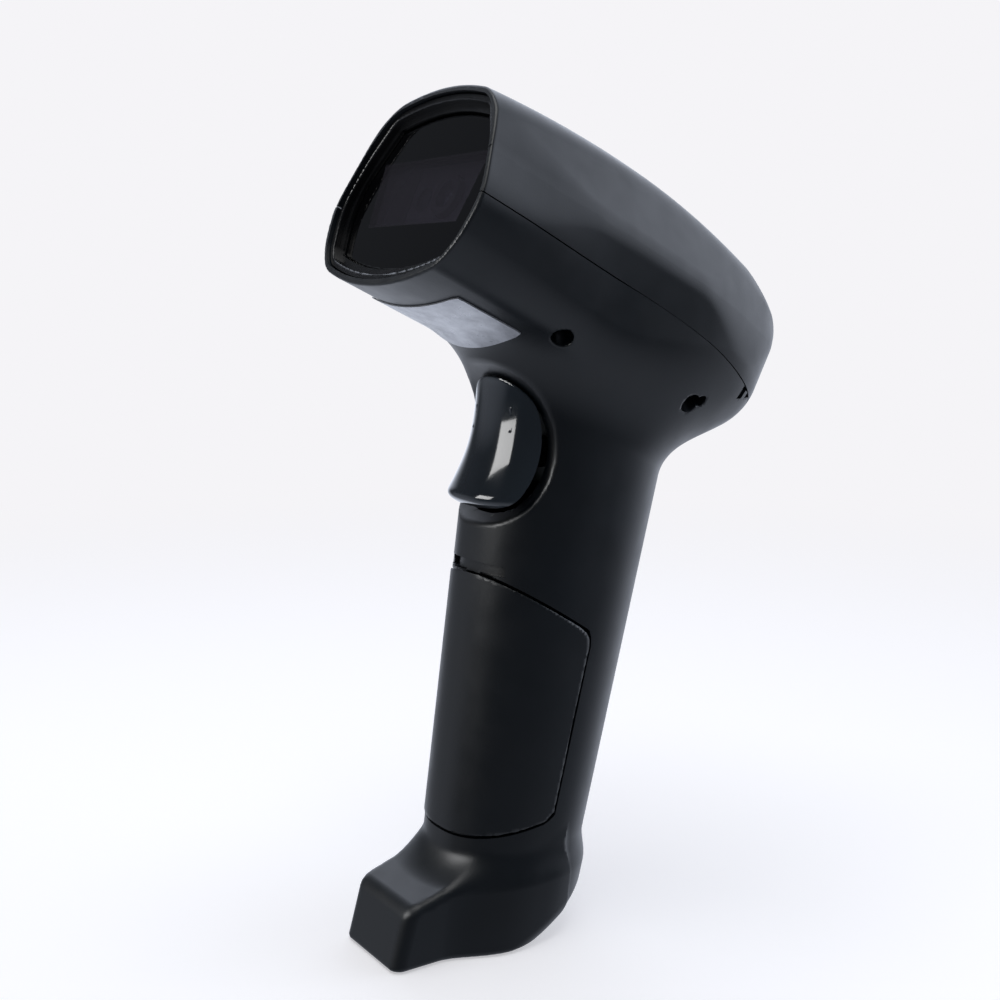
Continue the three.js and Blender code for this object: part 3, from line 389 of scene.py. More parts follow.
def trigger_front(x, y, z, inset=0.0):
    """The room behind the paddle's front surface, whose sides sweep back."""
    half = TRIGGER.half - inset
    share = np.clip(np.abs(x) / half, 0, 1)
    depth = (1 - (1 - share**TRIGGER.power) ** (1 / TRIGGER.power)) * TRIGGER.depth
    line = spline(TRIGGER_Z, TRIGGER_Y, z)
    return np.maximum(line + inset + depth - y, np.abs(x) - half)


def trigger_field(p):
    """The paddle, cut to the mouth at rest and when pulled, with its lugs, pusher and spring seat."""
    x, y, z = p.T
    dy, dz = MOUTH.y - PIN.y, MOUTH.z - PIN.z
    cos, sin = math.cos(TRIGGER.swing), math.sin(TRIGGER.swing)
    radius = MOUTH.radius - TRIGGER.clear
    mouth = circle(y, z, MOUTH.y, MOUTH.z, radius)
    rest_mouth = circle(y, z, PIN.y + dy * cos + dz * sin, PIN.z - dy * sin + dz * cos, radius)
    bowl = np.maximum(round_inside(trigger_front(x, y, z), mouth, TRIGGER.edge), rest_mouth)
    hollow = np.maximum(trigger_front(x, y, z, TRIGGER.wall), 90.5 - z)
    shell = np.maximum(bowl, -hollow)
    lugs = np.maximum(polygon(LUG, y, z), np.abs(np.abs(x) - LUG_X) - 1)
    fitted = np.maximum(trigger_front(x, y, z, 1), y - 30)
    web = box_field((x, -6, 6), (y, 13.2, 15.2), (z, 103.4, 107.6))
    pusher = np.maximum(box_field((x, -1.5, 1.5), (y, 10.4, 18), (z, 97, 99)), np.minimum(fitted, 14 - y))
    seat = np.minimum(box_field((x, -4, 4), (y, 8, 13), (z, 90.2, 91.6)),
                      box_field((x, -4, 4), (y, 11.4, 13), (z, 90.2, 95.2)))
    whole = np.minimum.reduce([shell, lugs, web, pusher, np.maximum(seat, fitted)])
    return np.maximum(whole, -circle(y, z, PIN.y, PIN.z, PIN.radius + GAP))


# ---------------------------------------------------------------- window pieces, in the head frame
def bezel_field(p):
    """A stepped frame: (inset, rear end) of each step's opening, from the front."""
    x, s, q = p.T
    rim = rim_section(x, q)
    thin = np.maximum.reduce([rim + RIM.wall + GAP, 0.8 - s, s - 4.7])
    thick = np.maximum.reduce([rim + 2.8, 2 - s, s - 8])
    steps = [(2.6, 2.2), (4.2, 4.6), (6.6, 9.0)]
    bored = np.minimum.reduce([np.maximum(rim + inset, s - rear) for inset, rear in steps])
    return round_inside(np.minimum(thin, thick), -bored, 0.3)


def window_field(p):
    x, s, q = p.T
    return round_inside(rim_section(x, q) + 4.5, np.abs(s - 3.65) - 0.65, 0.25)


def light_pipe_field(p):
    x, s, q = p.T
    pipe = np.maximum(circle(x, s, 0, STATUS.s, STATUS.radius), 16.8 - q)
    return round_inside(pipe, head_field(x, s, q) + 0.1, 0.5)


# ---------------------------------------------------------------- meshes
FLAT_SHARE = 0.08  # below this share of the largest spread, a vertex isn't moved along that direction
SPARE = 0.1  # how far a vertex may lie outside its cell, as a share of it
CREASE_ANGLE = math.radians(16)


def gradient(field, points, step=0.01):
    """Unit vectors in which the field grows."""
    result = np.empty_like(points)
    for axis in range(3):
        shift = np.zeros(3)
        shift[axis] = step
        result[:, axis] = field(points + shift) - field(points - shift)
    return result / np.maximum(np.linalg.norm(result, axis=1, keepdims=True), 1e-12)


def crossing(field, low, high, axis):
    """Where the field changes sign between two ends that differ along one axis."""
    low, high = low.copy(), high.copy()
    f_low, f_high = field(low), field(high)
    for step in range(9):
        middle = low.copy()
        share = np.clip(f_low / (f_low - f_high), 0.05, 0.95) if step % 2 == 0 else 0.5
        middle[:, axis] += (high[:, axis] - low[:, axis]) * share
        f_middle = field(middle)
        same = (f_middle < 0) == (f_low < 0)
        low[same], f_low[same] = middle[same], f_middle[same]
        high[~same], f_high[~same] = middle[~same], f_middle[~same]
    middle = low.copy()
    middle[:, axis] += (high[:, axis] - low[:, axis]) * f_low / (f_low - f_high)
    return middle


def sampled(field, axes):
    """The field's values on the whole grid, taken a few planes at a time."""
    value = np.empty([len(axis) for axis in axes], np.float32)
    rows = max(1, int(1e6 // (len(axes[1]) * len(axes[2]))))
    for start in range(0, len(axes[0]), rows):
        part = np.stack(np.meshgrid(axes[0][start : start + rows], axes[1], axes[2], indexing="ij"), -1)
        value[start : start + rows] = field(part.reshape(-1, 3)).reshape(part.shape[:3])
    return value


def contour(field, axes):
    """Dual contouring of a field on a grid of lines: one vertex a cell, placed on its creases."""
    inside = sampled(field, axes) < 0
    counts = [len(axis) - 1 for axis in axes]

    def beside(index, axis, shift_a, shift_b):
        """The number of the cell on one of the four sides of each crossed grid edge."""
        cell = index.copy()
        cell[:, (axis + 1) % 3] += shift_a
        cell[:, (axis + 2) % 3] += shift_b
        return (cell[:, 0] * counts[1] + cell[:, 1]) * counts[2] + cell[:, 2]

    runs = []
    for axis in range(3):
        first, second = [slice(None)] * 3, [slice(None)] * 3
        first[axis], second[axis] = slice(0, -1), slice(1, None)
        index = np.argwhere(inside[tuple(first)] != inside[tuple(second)])
        low = np.stack([axes[k][index[:, k]] for k in range(3)], -1)
        high = low.copy()
        high[:, axis] = axes[axis][index[:, axis] + 1]
        runs.append((axis, index, crossing(field, low, high, axis), inside[tuple(index.T)]))
    keys, points, normals = [], [], []
    for axis, index, point, _ in runs:
        normal = gradient(field, point)
        for shift_a in (-1, 0):
            for shift_b in (-1, 0):
                keys.append(beside(index, axis, shift_a, shift_b))
                points.append(point)
                normals.append(normal)
    keys, points, normals = map(np.concatenate, (keys, points, normals))
    cells, slot = np.unique(keys, return_inverse=True)
    total = len(cells)
    weight = np.bincount(slot, minlength=total)[:, None]
    centre = np.stack([np.bincount(slot, points[:, k], total) for k in range(3)], -1) / weight
    # Least squares over the tangent planes at each cell's crossings.
    offset = np.einsum("ij,ij->i", normals, points - centre[slot])
    matrix, right = np.empty((total, 3, 3)), np.empty((total, 3))
    for i in range(3):
        right[:, i] = np.bincount(slot, normals[:, i] * offset, total)
        for j in range(3):
            matrix[:, i, j] = np.bincount(slot, normals[:, i] * normals[:, j], total)
    size, turn = np.linalg.eigh(matrix)
    inverse = np.where(size > FLAT_SHARE * size[:, 2:], 1 / np.maximum(size, 1e-9), 0)
    vertices = centre + np.einsum("nij,nj->ni", turn, inverse * np.einsum("nji,nj->ni", turn, right))
    at = [cells // (counts[1] * counts[2]), (cells // counts[2]) % counts[1], cells % counts[2]]
    for k in range(3):
        low, high = axes[k][at[k]], axes[k][at[k] + 1]
        spare = SPARE * (high - low)
        vertices[:, k] = np.clip(vertices[:, k], low - spare, high + spare)
    quads = []
    for axis, index, _, starts_inside in runs:
        in_order = ((-1, -1), (0, -1), (0, 0), (-1, 0))
        quad = np.stack([np.searchsorted(cells, beside(index, axis, *shift)) for shift in in_order], -1)
        quad[~starts_inside] = quad[~starts_inside][:, ::-1]
        quads.append(quad)
    return vertices, np.concatenate(quads)


def corner_normals(field, vertices, quads):
    """The field's own normals, taken a little inside each face where its corner is on a crease."""
    corner = vertices[quads]
    face = np.cross(corner[:, 2] - corner[:, 0], corner[:, 3] - corner[:, 1])
    face /= np.maximum(np.linalg.norm(face, axis=1, keepdims=True), 1e-12)
    normals = gradient(field, vertices)[quads]
    off = np.einsum("nij,nj->ni", normals, face) < math.cos(CREASE_ANGLE)
    creased = np.zeros(len(vertices), bool)
    creased[quads[off]] = True
    sharp = creased[quads]
    middle = corner.mean(1, keepdims=True)
    inner = (corner + 0.35 * (middle - corner))[sharp]
    normals[sharp] = gradient(field, inner)
    wrong = np.einsum("nij,nj->ni", normals, face) < 0.5
    normals[wrong] = np.broadcast_to(face[:, None], normals.shape)[wrong]
    return normals


def lines(*spans):
    """Grid lines along one axis: (start, end, step) runs that follow each other."""
    runs = [np.linspace(a, b, max(2, round((b - a) / (step * GRID)) + 1))[:-1] for a, b, step in spans]
    return np.concatenate([*runs, [spans[-1][1]]])


def head_to_world(vectors, origin=True):
    """Points of the head frame in the part's frame, or directions when origin is False."""
    x, s, q = vectors[..., 0], vectors[..., 1], vectors[..., 2]
    cos, sin = math.cos(HEAD.tilt), math.sin(HEAD.tilt)
    y, z = s * cos + q * sin, q * cos - s * sin
    return np.stack([x, y + HEAD.y * origin, z + HEAD.z * origin], -1)


def linked(name, data):
    made = bpy.data.objects.new(name, data)
    bpy.context.scene.collection.objects.link(made)
    return made


def moulding(name, field, axes, in_head=False):
    """A piece from a distance function; in_head says that the function is in the head frame."""
    vertices, quads = contour(field, axes)
    normals = corner_normals(field, vertices, quads)
    if in_head:
        vertices, normals = head_to_world(vertices), head_to_world(normals, False)
    mesh = bpy.data.meshes.new(name)
    mesh.from_pydata((vertices * MM).tolist(), [], quads.tolist())
    mesh.polygons.foreach_set("use_smooth", [True] * len(quads))
    mesh.normals_split_custom_set(normals.reshape(-1, 3).tolist())
    return linked(name, mesh)


def smooth_piece(name, vertices, faces, sharp_degrees):
    """A piece from vertices in millimetres, shaded smooth apart from its sharper edges."""
    mesh = bpy.data.meshes.new(name)
    mesh.from_pydata((np.array(vertices) * MM).tolist(), [], faces)
    shape = bmesh.new()
    shape.from_mesh(mesh)
    bmesh.ops.recalc_face_normals(shape, faces=shape.faces)
    shape.to_mesh(mesh)
    shape.free()
    mesh.polygons.foreach_set("use_smooth", [True] * len(mesh.polygons))
    mesh.set_sharp_from_angle(angle=math.radians(sharp_degrees))
    return linked(name, mesh)


# ---------------------------------------------------------------- materials
class Nodes:
    """A small builder for one node tree."""

    def __init__(self, owner):
        owner.use_nodes = True
        self.tree = owner.node_tree
        self.tree.nodes.clear()

    def node(self, kind, inputs=None, **settings):
        made = self.tree.nodes.new(kind)
        for key, value in settings.items():
            setattr(made, key, value)
        for key, value in (inputs or {}).items():
            if isinstance(value, bpy.types.NodeSocket):
                self.tree.links.new(value, made.inputs[key])
            else:
                made.inputs[key].default_value = value
        return made

    def math(self, operation, *values):
        return self.node("ShaderNodeMath", dict(enumerate(values)), operation=operation).outputs[0]


class Shader(Nodes):
    """The nodes of one material."""

    def __init__(self, name):
        self.material = bpy.data.materials.new(name)
        super().__init__(self.material)
        self.place = self.node("ShaderNodeTexCoord").outputs["Object"]

    def noise(self, scale, detail=3.0, rough=0.5, place=None):
        inputs = {"Vector": place or self.place, "Scale": scale, "Detail": detail, "Roughness": rough}
        return self.node("ShaderNodeTexNoise", inputs).outputs["Fac"]

    def ramp(self, factor, *stops):
        made = self.node("ShaderNodeValToRGB", {"Fac": factor})
        for _ in stops[2:]:
            made.color_ramp.elements.new(0.5)
        for element, (position, colour) in zip(made.color_ramp.elements, stops):
            element.position = position
            element.color = (*colour, 1) if len(colour) == 3 else colour
        return made.outputs["Color"]

    def spread(self, factor, low, high):
        """The middle range of a noise, mapped to low and high."""
        inputs = {"Value": factor, "From Min": 0.3, "From Max": 0.7, "To Min": low, "To Max": high}
        return self.node("ShaderNodeMapRange", inputs).outputs["Result"]

    def bump(self, height, strength, distance, normal=None):
        inputs = {"Height": height, "Strength": strength, "Distance": distance}
        if normal is not None:
            inputs["Normal"] = normal
        return self.node("ShaderNodeBump", inputs).outputs["Normal"]

    def principled(self, **inputs):
        named = {key.replace("_", " "): value for key, value in inputs.items()}
        return self.node("ShaderNodeBsdfPrincipled", named).outputs["BSDF"]

    def done(self, surface):
        output = self.node("ShaderNodeOutputMaterial")
        self.tree.links.new(surface, output.inputs["Surface"])
        return self.material


def grey(value, tint=(1.0, 1.0, 1.0)):
    """A colour, or a brighter or darker one from a tint."""
    return tuple(value * t for t in tint)


def moulded_plastic(name, colour, roughness, grain=0.25, grain_size=0.35, coat=0.0):
    """Moulded plastic: fine eroded grain, faint flow marks and a little unevenness in gloss."""
    shader = Shader(name)
    flow = shader.noise(45, 2)
    tone = shader.ramp(flow, (0.3, grey(0.82, colour)), (0.7, grey(1.18, colour)))
    gloss = shader.spread(shader.noise(160, 3), roughness - 0.035, roughness + 0.035)
    fine = shader.noise(1000 / grain_size, 2, 0.6)
    normal = shader.bump(fine, grain, 0.00003)
    normal = shader.bump(shader.noise(90, 2), 0.06, 0.0004, normal)
    return shader.done(shader.principled(Base_Color=tone, Roughness=gloss, Normal=normal, IOR=1.5,
                                         Coat_Weight=coat, Coat_Roughness=0.04))


def polished_plastic(name, colour, roughness):
    """Polished plastic with faint smears under a clear coat."""
    shader = Shader(name)
    tone = shader.ramp(shader.noise(60, 2), (0.3, grey(0.9, colour)), (0.7, grey(1.1, colour)))
    smear = shader.spread(shader.noise(220, 4), roughness - 0.02, roughness + 0.04)
    normal = shader.bump(shader.noise(140, 2), 0.03, 0.0003)
    return shader.done(shader.principled(Base_Color=tone, Roughness=smear, Normal=normal, IOR=1.52,
                                         Coat_Weight=0.4, Coat_Roughness=0.03))


def rubber_skin(name):
    shader = Shader(name)
    tone = shader.ramp(shader.noise(120, 4), (0.3, grey(0.012)), (0.7, grey(0.022)))
    normal = shader.bump(shader.noise(1800, 3), 0.4, 0.00006)
    return shader.done(shader.principled(Base_Color=tone, Roughness=0.78, Normal=normal))


def metal_finish(name, colour, roughness, stretch=(40, 900, 900)):
    """Plated or turned metal with fine drawn lines."""
    shader = Shader(name)
    drawn = shader.node("ShaderNodeMapping", {"Vector": shader.place, "Scale": stretch}).outputs["Vector"]
    streak = shader.noise(1, 3, 0.5, drawn)
    tone = shader.ramp(streak, (0.3, grey(0.85, colour)), (0.7, grey(1.1, colour)))
    gloss = shader.spread(streak, roughness - 0.06, roughness + 0.08)
    normal = shader.bump(streak, 0.15, 0.00002)
    return shader.done(shader.principled(Base_Color=tone, Roughness=gloss, Metallic=1.0, Normal=normal))


def board_surface(name):
    """Solder mask with copper runs showing through as lighter, raised lines."""
    shader = Shader(name)
    cells = shader.node("ShaderNodeTexVoronoi", {"Vector": shader.place, "Scale": 420.0},
                        distance="CHEBYCHEV", feature="F1").outputs["Distance"]
    tone = shader.ramp(cells, (0.30, (0.003, 0.014, 0.008)), (0.36, (0.008, 0.03, 0.016)))
    runs = shader.ramp(cells, (0.30, grey(0.0)), (0.36, grey(1.0)))
    normal = shader.bump(runs, 0.3, 0.00003)
    return shader.done(shader.principled(Base_Color=tone, Roughness=0.3, Normal=normal))


def label_paper(name):
    """A satin silver sticker: uneven print layer, fine fibres, slightly lifted here and there."""
    shader = Shader(name)
    blotch = shader.noise(170, 5, 0.65)
    worn, plain, bright = (0.97, 0.98, 1.04), (0.98, 0.99, 1.04), (0.99, 1.0, 1.04)
    stops = (0.32, grey(0.42, worn)), (0.5, grey(0.60, plain)), (0.68, grey(0.72, bright))
    tone = shader.ramp(blotch, *stops)
    gloss = shader.spread(shader.noise(400, 3), 0.26, 0.42)
    normal = shader.bump(shader.noise(260, 4), 0.35, 0.00018)
    normal = shader.bump(shader.noise(3200, 2), 0.15, 0.00002, normal)
    return shader.done(shader.principled(Base_Color=tone, Roughness=gloss, Metallic=0.25, Normal=normal))


def clear_resin(name, tint=(0.82, 0.86, 0.9)):
    shader = Shader(name)
    normal = shader.bump(shader.noise(300, 2), 0.04, 0.0001)
    gloss = shader.spread(shader.noise(500, 3), 0.02, 0.07)
    return shader.done(shader.principled(Base_Color=(*tint, 1), Roughness=gloss, Normal=normal, IOR=1.5,
                                         Transmission_Weight=0.85))


def window_glass(name):
    """Dark tinted window, printed black round a clear field that lets the engine show through. The clear
    field also has a lighter grey base colour, which is painted light standing in for the lit engine seen
    through the glass.
    """
    shader = Shader(name)
    cos, sin = math.cos(HEAD.tilt), math.sin(HEAD.tilt)
    origin = (0, -HEAD.y * MM, -HEAD.z * MM)
    local = shader.node("ShaderNodeVectorMath", {0: shader.place, 1: origin}, operation="ADD").outputs[0]

    def along(axis):
        dot = shader.node("ShaderNodeVectorMath", {0: local, 1: axis}, operation="DOT_PRODUCT")
        return dot.outputs["Value"]

    # Clear field, narrower below: |x - 0.5| < 13.7 + 0.2 q and |q - 15.9| < 6.7 in millimetres,
    # with an edge that is soft over 0.4.
    x, q = along((1, 0, 0)), along((0, sin, cos))
    half = shader.math("MULTIPLY_ADD", q, 0.2, 0.0137)
    from_side = shader.math("SUBTRACT", half, shader.math("ABSOLUTE", shader.math("ADD", x, -0.0005)))
    height = shader.math("ABSOLUTE", shader.math("MULTIPLY_ADD", q, 1.0, -0.0159))
    nearest = shader.math("MINIMUM", from_side, shader.math("MULTIPLY_ADD", height, -1.0, 0.0067))
    inputs = {"Value": nearest, "From Min": -0.0002, "From Max": 0.0002, "To Min": 0.0, "To Max": 0.6}
    clear = shader.node("ShaderNodeMapRange", inputs).outputs["Result"]
    dust = shader.spread(shader.noise(700, 4), 0.03, 0.09)
    normal = shader.bump(shader.noise(60, 2), 0.03, 0.0004)
    # Black print outside the clear field. Inside it, a painted glow: a lighter grey base colour standing
    # in for the lit engine seen through the glass.
    tone = shader.ramp(clear, (0.0, (0.0015, 0.0015, 0.002)), (1.0, (0.13, 0.122, 0.15)))
    coat = shader.principled(Base_Color=tone, Roughness=dust, Normal=normal, IOR=1.5)
    through = shader.node("ShaderNodeBsdfTransparent", {"Color": (0.9, 0.88, 0.95, 1)}).outputs["BSDF"]
    mixed = shader.node("ShaderNodeMixShader", {"Fac": clear, 1: coat, 2: through}).outputs["Shader"]
    return shader.done(mixed)


# ---------------------------------------------------------------- pieces
FINISH = {
    "housing": moulded_plastic("housing_black", (0.0045, 0.0078, 0.0115), 0.38),
    "bezel": moulded_plastic("bezel_black", (0.003, 0.0034, 0.0044), 0.24, grain=0.08),
    "trigger": polished_plastic("trigger_slate", (0.030, 0.043, 0.055), 0.09),
    "window": window_glass("window_tint"),
    "label": label_paper("label_silver"),
    "rubber": rubber_skin("foot_rubber"),
    "frame_plastic": moulded_plastic("frame_grey", (0.10, 0.105, 0.11), 0.5, grain=0.3, grain_size=0.5),
    "engine_metal": metal_finish("engine_anodised", (0.09, 0.09, 0.10), 0.38),
    "lens": clear_resin("lens_clear"),
    "led": clear_resin("led_resin", (0.9, 0.86, 0.62)),
    "board": board_surface("solder_mask"),
    "chip": moulded_plastic("epoxy_black", (0.014, 0.014, 0.016), 0.5, grain=0.35, grain_size=0.12),
    "connector": moulded_plastic("nylon_cream", (0.55, 0.49, 0.36), 0.42, grain=0.15),
    "steel": metal_finish("plated_steel", (0.42, 0.43, 0.45), 0.3),
    "ribbon": polished_plastic("amber_film", (0.30, 0.12, 0.02), 0.22),
    "wrap": polished_plastic("shrink_wrap", (0.02, 0.06, 0.16), 0.25),
    "brass": metal_finish("gold_plate", (0.75, 0.52, 0.18), 0.25),
}


def finish(piece, slot):
    piece.data.materials.clear()
    piece.data.materials.append(FINISH[slot])


def stand_for(piece, node, body, slot):
    """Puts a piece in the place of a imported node, on the body that it rides on."""
    finish(piece, slot)
    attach(piece, body)
    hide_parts(node)


across = lines((-27.4, -14, 0.5), (-14, 14, 0.8), (14, 27.4, 0.5))
cover = moulding("cover_shell", top_cover_field,
                 [across, lines((-0.8, 2.4, 0.3), (2.4, 93, 0.8)), lines((3, 40, 0.6))], True)
stand_for(cover, "top_cover", "housing", "housing")

body = moulding("body_shell", main_body_field, [
    across,
    lines((-18, 10, 0.5), (10, 80, 0.75)),
    lines((-0.6, 4, 0.35), (4, 80, 0.85), (80, 152, 0.5)),
])
stand_for(body, "main_body", "housing", "housing")

door = moulding("door_panel", battery_door_field,
                [lines((-18, 18, 0.6)), lines((-6, 26, 0.6)), lines((18, 76, 0.6))])
stand_for(door, "battery_door", "battery_door", "housing")

paddle = moulding("trigger_paddle", trigger_field,
                  [lines((-13.2, 13.2, 0.32)), lines((4, 24, 0.32)), lines((86, 120, 0.32))])
stand_for(paddle, "trigger", "trigger", "trigger")

bezel = moulding("bezel_frame", bezel_field, [
    lines((-25.8, 25.8, 0.4)), lines((0.2, 8.6, 0.3)), lines((-4, 36, 0.4))], True)
stand_for(bezel, "window_bezel", "housing", "bezel")

pane = moulding("window_pane", window_field, [
    lines((-23, 23, 0.4)), lines((2.4, 5, 0.3)), lines((-1, 34, 0.4))], True)
stand_for(pane, "scan_window", "housing", "window")

pipe = moulding("status_lens", light_pipe_field, [
    lines((-2.8, 2.8, 0.3)), lines((61, 67, 0.3)), lines((16, 38, 0.5))], True)
stand_for(pipe, "status_light_pipe", "housing", "lens")


def label_sheet():
    """The nose label: a thin sheet with rounded corners that follows the underside of the nose."""
    half_x, half_s, centre_s, radius, lift, thick = 15.5, 8.0, 17.0, 0.7, 0.05, 0.28
    rings, around = 14, 96
    outline = []
    for k in range(around):
        angle = 2 * math.pi * k / around
        u, v = math.cos(angle), math.sin(angle)
        reach = 1 / max(abs(u) / half_x, abs(v) / half_s)
        x, s = u * reach, v * reach
        inner_x, inner_s = half_x - radius, half_s - radius
        if abs(x) > inner_x and abs(s) > inner_s:
            dx, ds = abs(x) - inner_x, abs(s) - inner_s
            shrink = radius / math.hypot(dx, ds)
            x = math.copysign(inner_x + dx * shrink, x)
            s = math.copysign(inner_s + ds * shrink, s)
        outline.append((x, s))
    flat = [(0.0, 0.0)] + [(x * r / rings, s * r / rings) for r in range(1, rings + 1) for x, s in outline]
    flat = np.array(flat)
    down = np.array([0, -math.sin(HEAD.tilt), -math.cos(HEAD.tilt)])
    start = head_to_world(np.stack([flat[:, 0], flat[:, 1] + centre_s, np.full(len(flat), 4.0)], -1))

    def outer(points):
        x, s, q = head_space(points)
        return round_union(head_field(x, s, q), stem_field(points), neck_radius(s))

    low, high = np.zeros(len(flat)), np.full(len(flat), 30.0)
    for _ in range(30):
        middle = (low + high) / 2
        inside = outer(start + middle[:, None] * down) < 0
        low, high = np.where(inside, middle, low), np.where(inside, high, middle)
    skin = start + low[:, None] * down
    normal = gradient(outer, skin)
    near, far = skin + lift * normal, skin + (lift + thick) * normal
    count = len(flat)
    vertices = np.concatenate([near, far])
    faces = []
    for k in range(around):
        after = (k + 1) % around
        faces.append((0, 1 + k, 1 + after))
        faces.append((count, count + 1 + after, count + 1 + k))
        for r in range(rings - 1):
            a, b = 1 + r * around + k, 1 + r * around + after
            c, d = b + around, a + around
            faces.append((a, d, c, b))
            faces.append((count + a, count + b, count + c, count + d))
        last = 1 + (rings - 1) * around
        faces.append((last + k, count + last + k, count + last + after, last + after))
    return smooth_piece("label_sheet", vertices, faces, 40)


stand_for(label_sheet(), "nose_label", "housing", "label")


def coil_spring():
    """The trigger's return spring: a wire wound round a line that runs backward."""
    turns, coil, wire, steps, sides = 4, 2.0, 0.3, 128, 10
    front, rear, height = 13.7, 19.3, 92.6
    vertices, faces = [], []
    for k in range(steps + 1):
        angle = 2 * math.pi * turns * k / steps
        out = np.array([math.cos(angle), 0, math.sin(angle)])
        centre = coil * out + [0, front + (rear - front) * k / steps, height]
        for j in range(sides):
            turn = 2 * math.pi * j / sides
            vertices.append(centre + wire * (math.cos(turn) * out + [0, math.sin(turn), 0]))
            if k < steps:
                a, b = k * sides + j, k * sides + (j + 1) % sides
                faces.append((a, b, b + sides, a + sides))
    faces.append(tuple(range(sides))[::-1])
    faces.append(tuple(steps * sides + j for j in range(sides)))
    return smooth_piece("return_spring", vertices, faces, 50)


spring = coil_spring()
stand_for(spring, "trigger_spring", "housing", "steel")
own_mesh(spring)

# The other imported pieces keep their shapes, with rounded edges.
REPLACED = {"top_cover", "main_body", "battery_door", "trigger", "window_bezel", "scan_window",
            "status_light_pipe", "nose_label", "trigger_spring"}
slots = {part["node"]: part["material_slot"] for part in frame["record"]["subparts"]}
for name, node in frame["nodes"].items():
    if name in REPLACED:
        continue
    finish(node, slots[name])
    edge = node.modifiers.new("edges", "BEVEL")
    edge.width = 0.00012
    edge.segments = 2
    edge.limit_method = "ANGLE"
    edge.angle_limit = math.radians(40)
    edge.harden_normals = False

# ---------------------------------------------------------------- camera, floor and light
LOOK_AZIMUTH, LOOK_ELEVATION = math.radians(55.1), math.radians(9.13)
SENSOR = 36.0
FOCAL_RATIO = 1.317  # focal length over sensor width
camera = linked("camera", bpy.data.cameras.new("camera"))
camera.data.sensor_width = SENSOR
camera.data.lens = FOCAL_RATIO * SENSOR
camera.data.clip_start = 0.01
camera.location = (0.21428, -0.13460, 0.13058)
look = Vector((-math.sin(LOOK_AZIMUTH) * math.cos(LOOK_ELEVATION),
               math.cos(LOOK_AZIMUTH) * math.cos(LOOK_ELEVATION), -math.sin(LOOK_ELEVATION)))
camera.rotation_euler = look.to_track_quat("-Z", "Y").to_euler()
bpy.context.scene.camera = camera
bpy.context.scene.view_settings.view_transform = "Standard"

PALE = (0.913, 0.905, 0.930)


def floor_surface():
    """Pale glow with a matte share near the scanner, which takes its shadow and fades out further off."""
    shader = Shader("floor_pale")
    reach = shader.node("ShaderNodeVectorMath", {0: shader.place}, operation="LENGTH").outputs["Value"]
    inputs = {"Value": reach, "From Min": 0.15, "From Max": 0.6, "To Min": 0.0, "To Max": 1.0}
    far = shader.node("ShaderNodeMapRange", inputs, interpolation_type="SMOOTHSTEP").outputs["Result"]
    glow = shader.node("ShaderNodeEmission", {"Color": (*PALE, 1), "Strength": 0.5}).outputs["Emission"]
    matte = shader.node("ShaderNodeBsdfDiffuse", {"Color": (0.7, 0.7, 0.71, 1)}).outputs["BSDF"]
    near = shader.node("ShaderNodeAddShader", {0: glow, 1: matte}).outputs["Shader"]
    plain = shader.node("ShaderNodeEmission", {"Color": (*PALE, 1), "Strength": 1.0}).outputs["Emission"]
    mixed = shader.node("ShaderNodeMixShader", {"Fac": far, 1: near, 2: plain}).outputs["Shader"]
    return shader.done(mixed)


floor_mesh = bpy.data.meshes.new("floor")
shape = bmesh.new()
bmesh.ops.create_circle(shape, cap_ends=True, segments=96, radius=12.0)
shape.to_mesh(floor_mesh)
shape.free()
floor = linked("floor", floor_mesh)
floor.data.materials.append(floor_surface())
floor.visible_diffuse = False
floor.visible_glossy = False


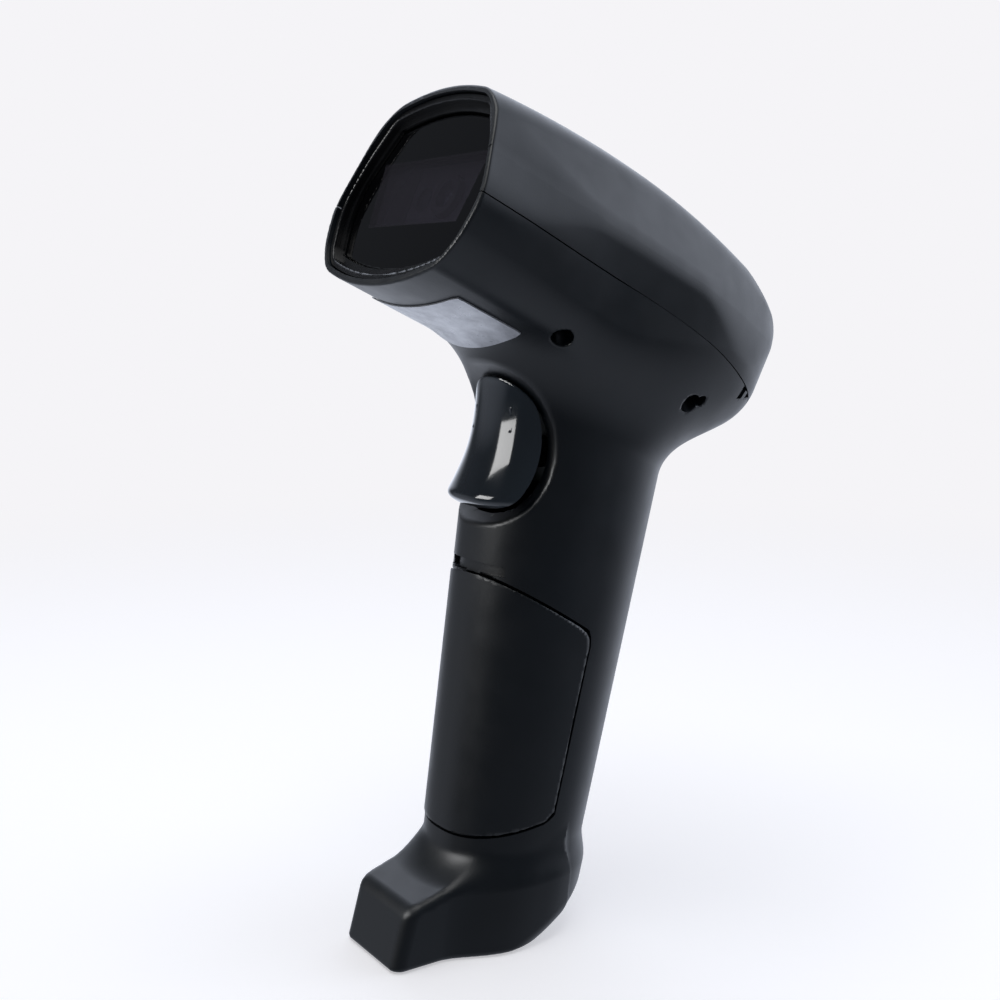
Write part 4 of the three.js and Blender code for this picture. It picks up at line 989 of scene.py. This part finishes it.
# Light from around the scanner: (direction, facing at the lobe's edge and at its core, strength).
LIGHT_LOBES = [
    ((0.43, 0.82, 0.39), 0.86, 0.98, 1.3),
    ((-0.2, 1, 0.1), 0.6, 1.0, 1.2),
    ((0, 0, -1), 0.1, 0.9, 0.45),
    ((-0.78, -0.6, -0.15), 0.86, 1.0, 0.3),
    ((-0.81, 0.41, 0.42), 0.8, 1.0, 1.7),
    ((-0.86, 0.32, -0.38), 0.8, 1.0, 0.8),
]
AMBIENT = 0.10


def set_world():
    """Pale to the eye; as light, a dim studio with a bright wall behind and above the scanner."""
    world = bpy.data.worlds.new("studio")
    bpy.context.scene.world = world
    studio = Nodes(world)
    way = studio.node("ShaderNodeTexCoord").outputs["Generated"]

    def lobe(direction, start, end, strength):
        facing = studio.node("ShaderNodeVectorMath", {0: way, 1: tuple(Vector(direction).normalized())},
                             operation="DOT_PRODUCT").outputs["Value"]
        inputs = {"Value": facing, "From Min": start, "From Max": end, "To Min": 0.0, "To Max": strength}
        return studio.node("ShaderNodeMapRange", inputs, interpolation_type="SMOOTHSTEP").outputs["Result"]

    total = AMBIENT
    for settings in LIGHT_LOBES:
        total = studio.math("ADD", lobe(*settings), total)
    cool = (0.88, 0.94, 1.08, 1)
    light = studio.node("ShaderNodeBackground", {"Color": cool, "Strength": total}).outputs[0]
    seen = studio.node("ShaderNodeBackground", {"Color": (*PALE, 1), "Strength": 1.0}).outputs[0]
    eye = studio.node("ShaderNodeLightPath").outputs["Is Camera Ray"]
    mixed = studio.node("ShaderNodeMixShader", {"Fac": eye, 1: light, 2: seen}).outputs[0]
    studio.node("ShaderNodeOutputWorld", {"Surface": mixed})


set_world()


def softbox(name, direction, distance, size, power, diffuse, aim=(0.0, 0.01, 0.1)):
    """A rectangular lamp that shines at a point from a direction."""
    lamp = bpy.data.lights.new(name, "AREA")
    lamp.shape = "RECTANGLE"
    lamp.size, lamp.size_y = size
    lamp.energy = power
    holder = linked(name, lamp)
    way = Vector(direction).normalized()
    holder.location = Vector(aim) + way * distance
    holder.rotation_euler = (-way).to_track_quat("-Z", "Y").to_euler()
    holder.visible_camera = False
    holder.visible_diffuse = diffuse


softbox("front_box", (-0.28, -0.88, 0.38), 0.7, (0.40, 0.32), 2.8, False)
softbox("top_box", (0.05, -0.1, 1), 0.9, (0.7, 0.7), 4.0, True, (0, 0, 0))
